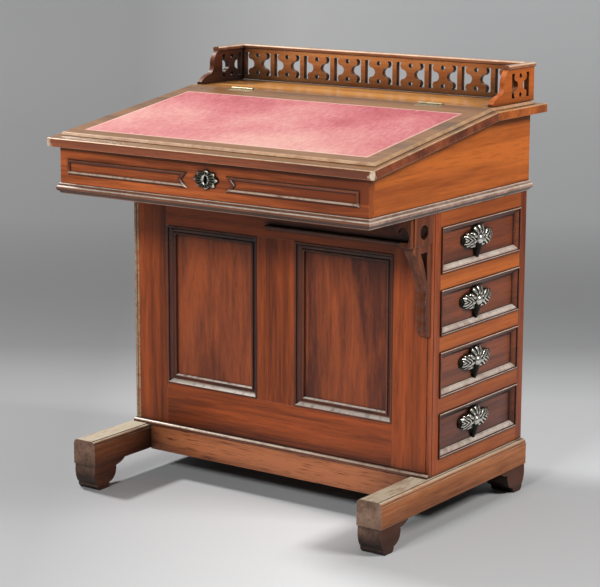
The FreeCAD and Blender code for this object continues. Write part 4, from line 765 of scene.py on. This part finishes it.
HINGE_PLACE = 0.228
SCREW_PITCH = 0.019
SCREW_FROM_PIN = 0.0120
LID_SLOPE = math.radians(8.2)
HINGE_PIN_Y, HINGE_PIN_Z = 0.121, 0.789
SLOT_SPIN = 1.4
SLOT_SEED = 7


def raise_by(tree, geometry, height):
    """Lift a shape by a height."""
    way = add(tree, "ShaderNodeCombineXYZ", {"Z": height})
    return add(tree, "GeometryNodeTransform", {
        "Geometry": geometry, "Translation": way.outputs["Vector"]}).outputs["Geometry"]


def make_screw_tree():
    """A slotted screw head at each point of a mesh, tipped by the slope of its leaf."""
    tree = bpy.data.node_groups.new("hinge_screws", "GeometryNodeTree")
    group_socket(tree, "Geometry", "Geometry", "INPUT")
    group_socket(tree, "Head Radius", "Float", "INPUT", 0.0031)
    group_socket(tree, "Head Depth", "Float", "INPUT", 0.0009)
    group_socket(tree, "Stand", "Float", "INPUT", 0.0003)
    group_socket(tree, "Slot Width", "Float", "INPUT", 0.0008)
    group_socket(tree, "Slope", "Float", "INPUT", 0.0)
    group_socket(tree, "Brass", "Material", "INPUT")
    group_socket(tree, "Geometry", "Geometry", "OUTPUT")
    given = add(tree, "NodeGroupInput").outputs
    result = add(tree, "NodeGroupOutput").inputs
    head = add(tree, "GeometryNodeMeshCylinder", {
        "Vertices": 24, "Radius": given["Head Radius"], "Depth": given["Head Depth"]})
    bar_size = add(tree, "ShaderNodeCombineXYZ", {
        "X": times(tree, given["Head Radius"], 3.0), "Y": given["Slot Width"],
        "Z": given["Head Depth"]})
    bar = add(tree, "GeometryNodeMeshCube", {"Size": bar_size.outputs["Vector"]})
    half_depth = times(tree, given["Head Depth"], 0.5)
    slotted = add(tree, "GeometryNodeMeshBoolean", {
        0: head.outputs["Mesh"], 1: raise_by(tree, bar.outputs["Mesh"], half_depth)},
        operation="DIFFERENCE")
    seated = raise_by(
        tree, slotted.outputs["Mesh"], sums(tree, "SUBTRACT", given["Stand"], half_depth))
    tip = add(tree, "ShaderNodeCombineXYZ", {"X": given["Slope"]})
    placed = add(tree, "GeometryNodeInstanceOnPoints", {
        "Points": given["Geometry"], "Instance": seated, "Rotation": tip.outputs["Vector"]})
    spin = add(tree, "FunctionNodeRandomValue", {
        0: (0, 0, -SLOT_SPIN), 1: (0, 0, SLOT_SPIN), "Seed": SLOT_SEED},
        data_type="FLOAT_VECTOR")
    turned = add(tree, "GeometryNodeRotateInstances", {
        "Instances": placed.outputs["Instances"], "Rotation": spin.outputs[0],
        "Local Space": True})
    real = add(tree, "GeometryNodeRealizeInstances", {"Geometry": turned.outputs["Instances"]})
    brassed = add(tree, "GeometryNodeSetMaterial", {
        "Geometry": real.outputs["Geometry"], "Material": given["Brass"]})
    join(tree, brassed.outputs["Geometry"], result["Geometry"])
    return tree


SCREW_TREE = make_screw_tree()
SCREW_INPUTS = {
    item.name: item.identifier for item in SCREW_TREE.interface.items_tree
    if item.item_type == "SOCKET" and item.in_out == "INPUT"}


def drive_screws(name, body, side, slope):
    """Screws through the leaves on one side of the pin, as one piece of a body."""
    turn = Matrix.Rotation(slope, 3, "X")
    places = [
        Vector((hinge * HINGE_PLACE + step * SCREW_PITCH, HINGE_PIN_Y, HINGE_PIN_Z))
        + turn @ Vector((0, side * SCREW_FROM_PIN, 0))
        for hinge in (-1, 1) for step in (-1, 0, 1)]
    points = mesh_piece(name + "_points", places, [], hinge_brass)
    screws = points.modifiers.new("screws", "NODES")
    screws.node_group = SCREW_TREE
    screws[SCREW_INPUTS["Slope"]] = slope
    screws[SCREW_INPUTS["Brass"]] = hinge_brass
    graph = bpy.context.evaluated_depsgraph_get()
    made = bpy.data.meshes.new_from_object(points.evaluated_get(graph))
    made.name = name
    bpy.data.objects.remove(points)
    piece = put_in_scene(name, made)
    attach(piece, body)


drive_screws("hinge_screws_ledge", "desk", 1, 0.0)
drive_screws("hinge_screws_lid", "lid", -1, LID_SLOPE)

# ---------------------------------------------------------------- carved pulls
# Each pull is a cast spray of acanthus leaves: a ribbed crown arched over a round nut, a
# leaf curling out on each side and a tongue below, on a scalloped plate. Hollows are black
# and ridges rubbed silver; the tongue and the outer ends of the side leaves are painted dark
# for shade. u runs across a pull, v up it and w out from the drawer.

PULL_HALF = 0.058
PULL_REACH = 0.0140
RELIEF = 0.60
PULL_FORWARD = 0.008
NUT_RISE = 0.58
LEAF_GAUGE = 0.0016
LEAST_STAND = 0.0015
CROWN_TOP = 0.0275
CROWN_ROOT = 0.0112
CROWN_EDGE = 0.0300
CROWN_STAND = 0.0205
CROWN_ENDS = 0.25
SIDE_LEAF_ROOT = 0.007
SIDE_LEAF_HALF = 0.0180
TONGUE_ROOT = 0.006
TONGUE_FOOT = 0.0370
TONGUE_HALF = 0.0108
PLATE_HALF = 0.046
PLATE_RISE, PLATE_FALL = 0.0195, 0.0175
NUT_RADIUS = 0.0088

GRIME_SHARE = 0.6
HOLLOW_REACH = 0.012
PATINA_TONES = (
    (0.0, (0.018, 0.016, 0.012)), (0.35, (0.20, 0.18, 0.135)), (1.0, (0.86, 0.84, 0.78)))


def side_leaf(sign, s, t):
    """A point of a side leaf: t from the nut to the tip, s from its lower to its upper edge."""
    lobes = 0.80 + 0.20 * abs(math.sin(math.pi * (3.5 * t + 0.1)))
    half = SIDE_LEAF_HALF * (1.03 - t) ** 0.28 * lobes
    curl = math.sin(math.pi * min(t * 1.12, 1.0))
    veins = math.sin(math.pi * (9 * t - 4.0 * abs(s)) + 0.6)
    u = sign * (SIDE_LEAF_ROOT + (PULL_HALF - SIDE_LEAF_ROOT) * t)
    v = 0.0035 * t + half * s
    w = 0.010 + 0.0095 * curl - 0.0075 * s * s + 0.0016 * veins - 0.006 * max(t - 0.85, 0) / 0.15
    # Past 0.86 of the leaf the ridge drops to a quarter: painted shade at its curled end.
    ridge = (0.5 + 0.5 * veins) * (1.0 if t < 0.86 else 0.25)
    return u, min(v, CROWN_TOP), max(w, LEAST_STAND), ridge


def right_leaf(s, t):
    return side_leaf(1, s, t)


def left_leaf(s, t):
    return side_leaf(-1, s, t)


def crown_leaf(turn, t):
    """A point of the ribbed crown: turn is the angle round the nut, t from rim to edge."""
    ribs = math.cos(11 * (turn - math.pi / 2))
    far = CROWN_EDGE * (0.90 + 0.10 * abs(math.cos(5.5 * (turn - math.pi / 2))))
    radius = CROWN_ROOT + (far - CROWN_ROOT) * t
    w = CROWN_STAND - 0.0045 * (1 - t) ** 4 - 0.0135 * t * t + 0.0012 * ribs * (0.3 + 0.7 * t)
    v = radius * math.sin(turn)
    ridge = 0.5 + 0.5 * ribs
    return radius * math.cos(turn), min(v, CROWN_TOP), max(w, LEAST_STAND), max(ridge, 1 - 6 * t)


def tongue_leaf(s, t):
    """A point of the tongue that hangs below the nut."""
    lobes = 0.82 + 0.18 * abs(math.sin(math.pi * (2.5 * t + 0.3)))
    half = TONGUE_HALF * (1.05 - t) ** 0.45 * lobes
    v = -TONGUE_ROOT - (TONGUE_FOOT - TONGUE_ROOT) * t
    w = 0.0150 - 0.0105 * t ** 1.4 - 0.0035 * s * s
    # The tongue's ridge stays low, painted dark for the shade under the nut.
    return half * s, v, max(w, LEAST_STAND), 0.35 if abs(s) < 0.15 else 0.0


def backing(turn, t):
    """A point of the scalloped plate behind the leaves."""
    edge = 0.94 + 0.06 * math.cos(10 * turn)
    u = PLATE_HALF * math.cos(turn) * edge * t
    v = 0.002 + (PLATE_RISE if math.sin(turn) > 0 else PLATE_FALL) * math.sin(turn) * edge * t
    return u, v, 0.0022 + 0.0012 * (1 - t), 0.0


def nut(turn, t):
    """A point of the ribbed nut: t runs from its base to its crown."""
    lift = math.pi / 2 * t
    flute = 1 + 0.05 * math.cos(6 * turn)
    radius = NUT_RADIUS * math.cos(lift) * flute
    w = (PULL_REACH - NUT_RADIUS + NUT_RADIUS * math.sin(lift)) / RELIEF
    return radius * math.cos(turn), radius * math.sin(turn), w, 0.5 + 0.5 * t


# Each sheet has its shape, its (start, end, steps) across and along, and whether its faces
# are turned over to look outwards.
PULL_SHEETS = (
    (backing, (-math.pi, math.pi, 40), (0.05, 1, 5), True),
    (tongue_leaf, (-1, 1, 10), (0, 1, 14), False),
    (right_leaf, (-1, 1, 16), (0, 1, 44), True),
    (left_leaf, (-1, 1, 16), (0, 1, 44), False),
    (crown_leaf, (-CROWN_ENDS, math.pi + CROWN_ENDS, 72), (0, 1, 9), True),
    (nut, (-math.pi, math.pi, 30), (-0.35, 0.99, 9), True),
)


def patinated_metal():
    """Dark bronze, silvered where the attribute says that a ridge is rubbed."""
    material, tree, shader = new_material("pull_patina")
    ridge = add(tree, "ShaderNodeAttribute", attribute_name="ridge").outputs["Fac"]
    grime = noise(tree, desk_place(tree), scale=260.0, detail=4.0, roughness=0.7)
    bitten = sums(tree, "MULTIPLY_ADD", grime, GRIME_SHARE, ridge)
    rubbed = spread(tree, bitten, 0.62, 1.05)
    hollows = open_air(tree, HOLLOW_REACH, samples=8)
    share = times(tree, rubbed, spread(tree, hollows, 0.25, 0.8))
    colour = ramp(tree, share, *PATINA_TONES)
    join(tree, colour, shader.inputs["Base Color"])
    join(tree, spread(tree, share, 0.0, 1.0, 0.62, 0.24), shader.inputs["Roughness"])
    shader.inputs["Metallic"].default_value = 0.9
    return material


pull_metal = patinated_metal()


def add_sheet(mesh, ridges, place, shape, across, along, flip):
    """Lay one sheet as a grid on a piece."""
    rows = []
    for i in range(along[2] + 1):
        t = along[0] + (along[1] - along[0]) * i / along[2]
        row = []
        for j in range(across[2] + 1):
            s = across[0] + (across[1] - across[0]) * j / across[2]
            u, v, w, ridge = shape(s, t)
            vert = mesh.verts.new(place(u, v, w))
            vert[ridges] = ridge
            row.append(vert)
        rows.append(row)
    for near, far in zip(rows, rows[1:]):
        for j in range(across[2]):
            loop = (near[j], near[j + 1], far[j + 1], far[j])
            mesh.faces.new(reversed(loop) if flip else loop)


def finish_sheets(name, mesh, gauge, body):
    """Give the sheets their thickness as one cast piece of a body."""
    bmesh.ops.remove_doubles(mesh, verts=mesh.verts, dist=1e-6)
    made = bpy.data.meshes.new(name)
    mesh.to_mesh(made)
    mesh.free()
    made.materials.append(pull_metal)
    for polygon in made.polygons:
        polygon.use_smooth = True
    piece = put_in_scene(name, made)
    walls = piece.modifiers.new("walls", "SOLIDIFY")
    walls.thickness = gauge
    walls.offset = -1
    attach(piece, body)
    return piece


def carve_pull(name, body, places, side, face, replaced):
    """Carve pulls at (y, z) places on a face to one side of the desk, as one piece."""
    mesh = bmesh.new()
    ridges = mesh.verts.layers.float.new("ridge")
    for centre_y, centre_z in places:
        def place(u, v, w):
            return Vector((
                side * (face + RELIEF * w), centre_y - PULL_FORWARD + side * u, centre_z + v))
        for sheet in PULL_SHEETS:
            add_sheet(mesh, ridges, place, *sheet)
    piece = finish_sheets(name, mesh, LEAF_GAUGE, body)
    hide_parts(*replaced)


right_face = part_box("drawer_1_pull")[0].x
left_face = -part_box("dummy_pulls")[1].x
pull_places = []
for number in DRAWERS:
    low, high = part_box("drawer_%d_pull" % number)
    pull_places.append(((low.y + high.y) / 2, low.z + NUT_RISE * (high.z - low.z)))
    carve_pull(
        "carved_pull_%d" % number, "drawer_%d" % number, pull_places[-1:], 1, right_face,
        ["drawer_%d_pull" % number])
carve_pull("carved_dummy_pulls", "desk", pull_places, -1, left_face, ["dummy_pulls"])

# ---------------------------------------------------------------- keyhole plate
# A blackened plate on the front board, with a ring of small cast leaves round the keyhole
# whose tips are rubbed silver.

KEYHOLE_HALF = (0.0042, 0.0078)
KEY_LEAF_GAUGE = 0.0008

key_metal = old_metal("key_plate_metal", (0.010, 0.009, 0.007), (0.05, 0.045, 0.04), 0.5)
finish_with(key_metal, "escutcheon")
key_low, key_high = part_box("escutcheon")
key_half = (key_high - key_low) / 2
key_middle = (key_high + key_low) / 2


def key_leaf(turn, t):
    """A point of the leaves round the keyhole: t runs from the hole to their tips."""
    ribs = math.cos(8 * turn)
    edge = 0.86 + 0.14 * ribs
    u = (KEYHOLE_HALF[0] + (key_half.x - KEYHOLE_HALF[0]) * edge * t) * math.cos(turn)
    v = (KEYHOLE_HALF[1] + (key_half.z - KEYHOLE_HALF[1]) * edge * t) * math.sin(turn)
    w = 0.0008 + 0.0026 * math.sin(math.pi * (0.15 + 0.80 * t)) + 0.0008 * ribs * t
    rim = 1.0 if t < 0.2 else 0.0
    tip = max(0.0, (t - 0.55) / 0.45) * (0.75 + 0.25 * ribs)
    return u, v, w, max(rim, tip, 0.25 * (1 + math.cos(16 * turn)))


def key_place(u, v, w):
    return Vector((key_middle.x + u, key_low.y - w, key_middle.z + v))


key_mesh = bmesh.new()
key_ridges = key_mesh.verts.layers.float.new("ridge")
add_sheet(
    key_mesh, key_ridges, key_place, key_leaf, (-math.pi, math.pi, 96), (0, 1, 8), True)
finish_sheets("carved_key_leaves", key_mesh, KEY_LEAF_GAUGE, "desk")

# ---------------------------------------------------------------- gallery
# A low gallery round the back of the ledge: a fretted board between two scrolled wings,
# all of red walnut, under a rounded cap rail that is rubbed bright with a painted highlight.
# The fretted board is painted lighter than its wood, the right wing takes the lit side tones,
# and the left wing is painted dark for shade.

# Painted light: the fretted board's tones are lighter than the wood's own.
gallery_wood_painted_light = polished_wood(
    "walnut_gallery", "x", dark=(0.540, 0.175, 0.048), light=(1.000, 0.450, 0.160),
    shift=(4, 4, 1), rub_and_glint=1.0, rub_and_glint_tone=(0.80, 0.56, 0.36, 1), patchiness=0.3, gloss=0.28,
    coat=0.3)
cap_wood = polished_wood(
    "walnut_cap", "x", dark=(0.150, 0.045, 0.018), light=(0.460, 0.180, 0.080),
    shift=(2, 6, 7), rub_and_glint=1.0, rub_and_glint_tone=(0.84, 0.64, 0.46, 1), patchiness=0.3, rounds_rub_and_highlight=0.9,
    gloss=0.26, coat=0.6)
# The right wing takes the lit side tones; the left wing is darker, painted shade with some dirt.
wing_wood = polished_wood(
    "walnut_wing", "y", LIT_SIDE_DARK, LIT_SIDE_LIGHT, shift=(6, 8, 2), rub_and_glint=0.8)
shaded_wing_wood = polished_wood(
    "walnut_wing_left", "y", dark=(0.070, 0.018, 0.007), light=(0.260, 0.062, 0.018),
    shift=(3, 8, 2), rub_and_glint=1.0)
finish_with(gallery_wood_painted_light, "gallery_back")
finish_with(cap_wood, "gallery_cap")
finish_with(wing_wood, "gallery_side_right")
finish_with(shaded_wing_wood, "gallery_side_left")

# ---------------------------------------------------------------- bracket and strip
# A pierced, scrolled walnut bracket screwed up under the right of the writing box, and a
# half-round strip glued along the top rail.

bracket_wood = polished_wood(
    "walnut_bracket", "z", dark=(0.085, 0.019, 0.007), light=(0.360, 0.092, 0.025),
    shift=(5, 5, 5), rub_and_glint=0.9, patchiness=0.4, wax_and_shade=0.45, painted_shade=0.45)
finish_with(bracket_wood, "overhang_bracket")
finish_with(bead_wood, "frieze_strip")
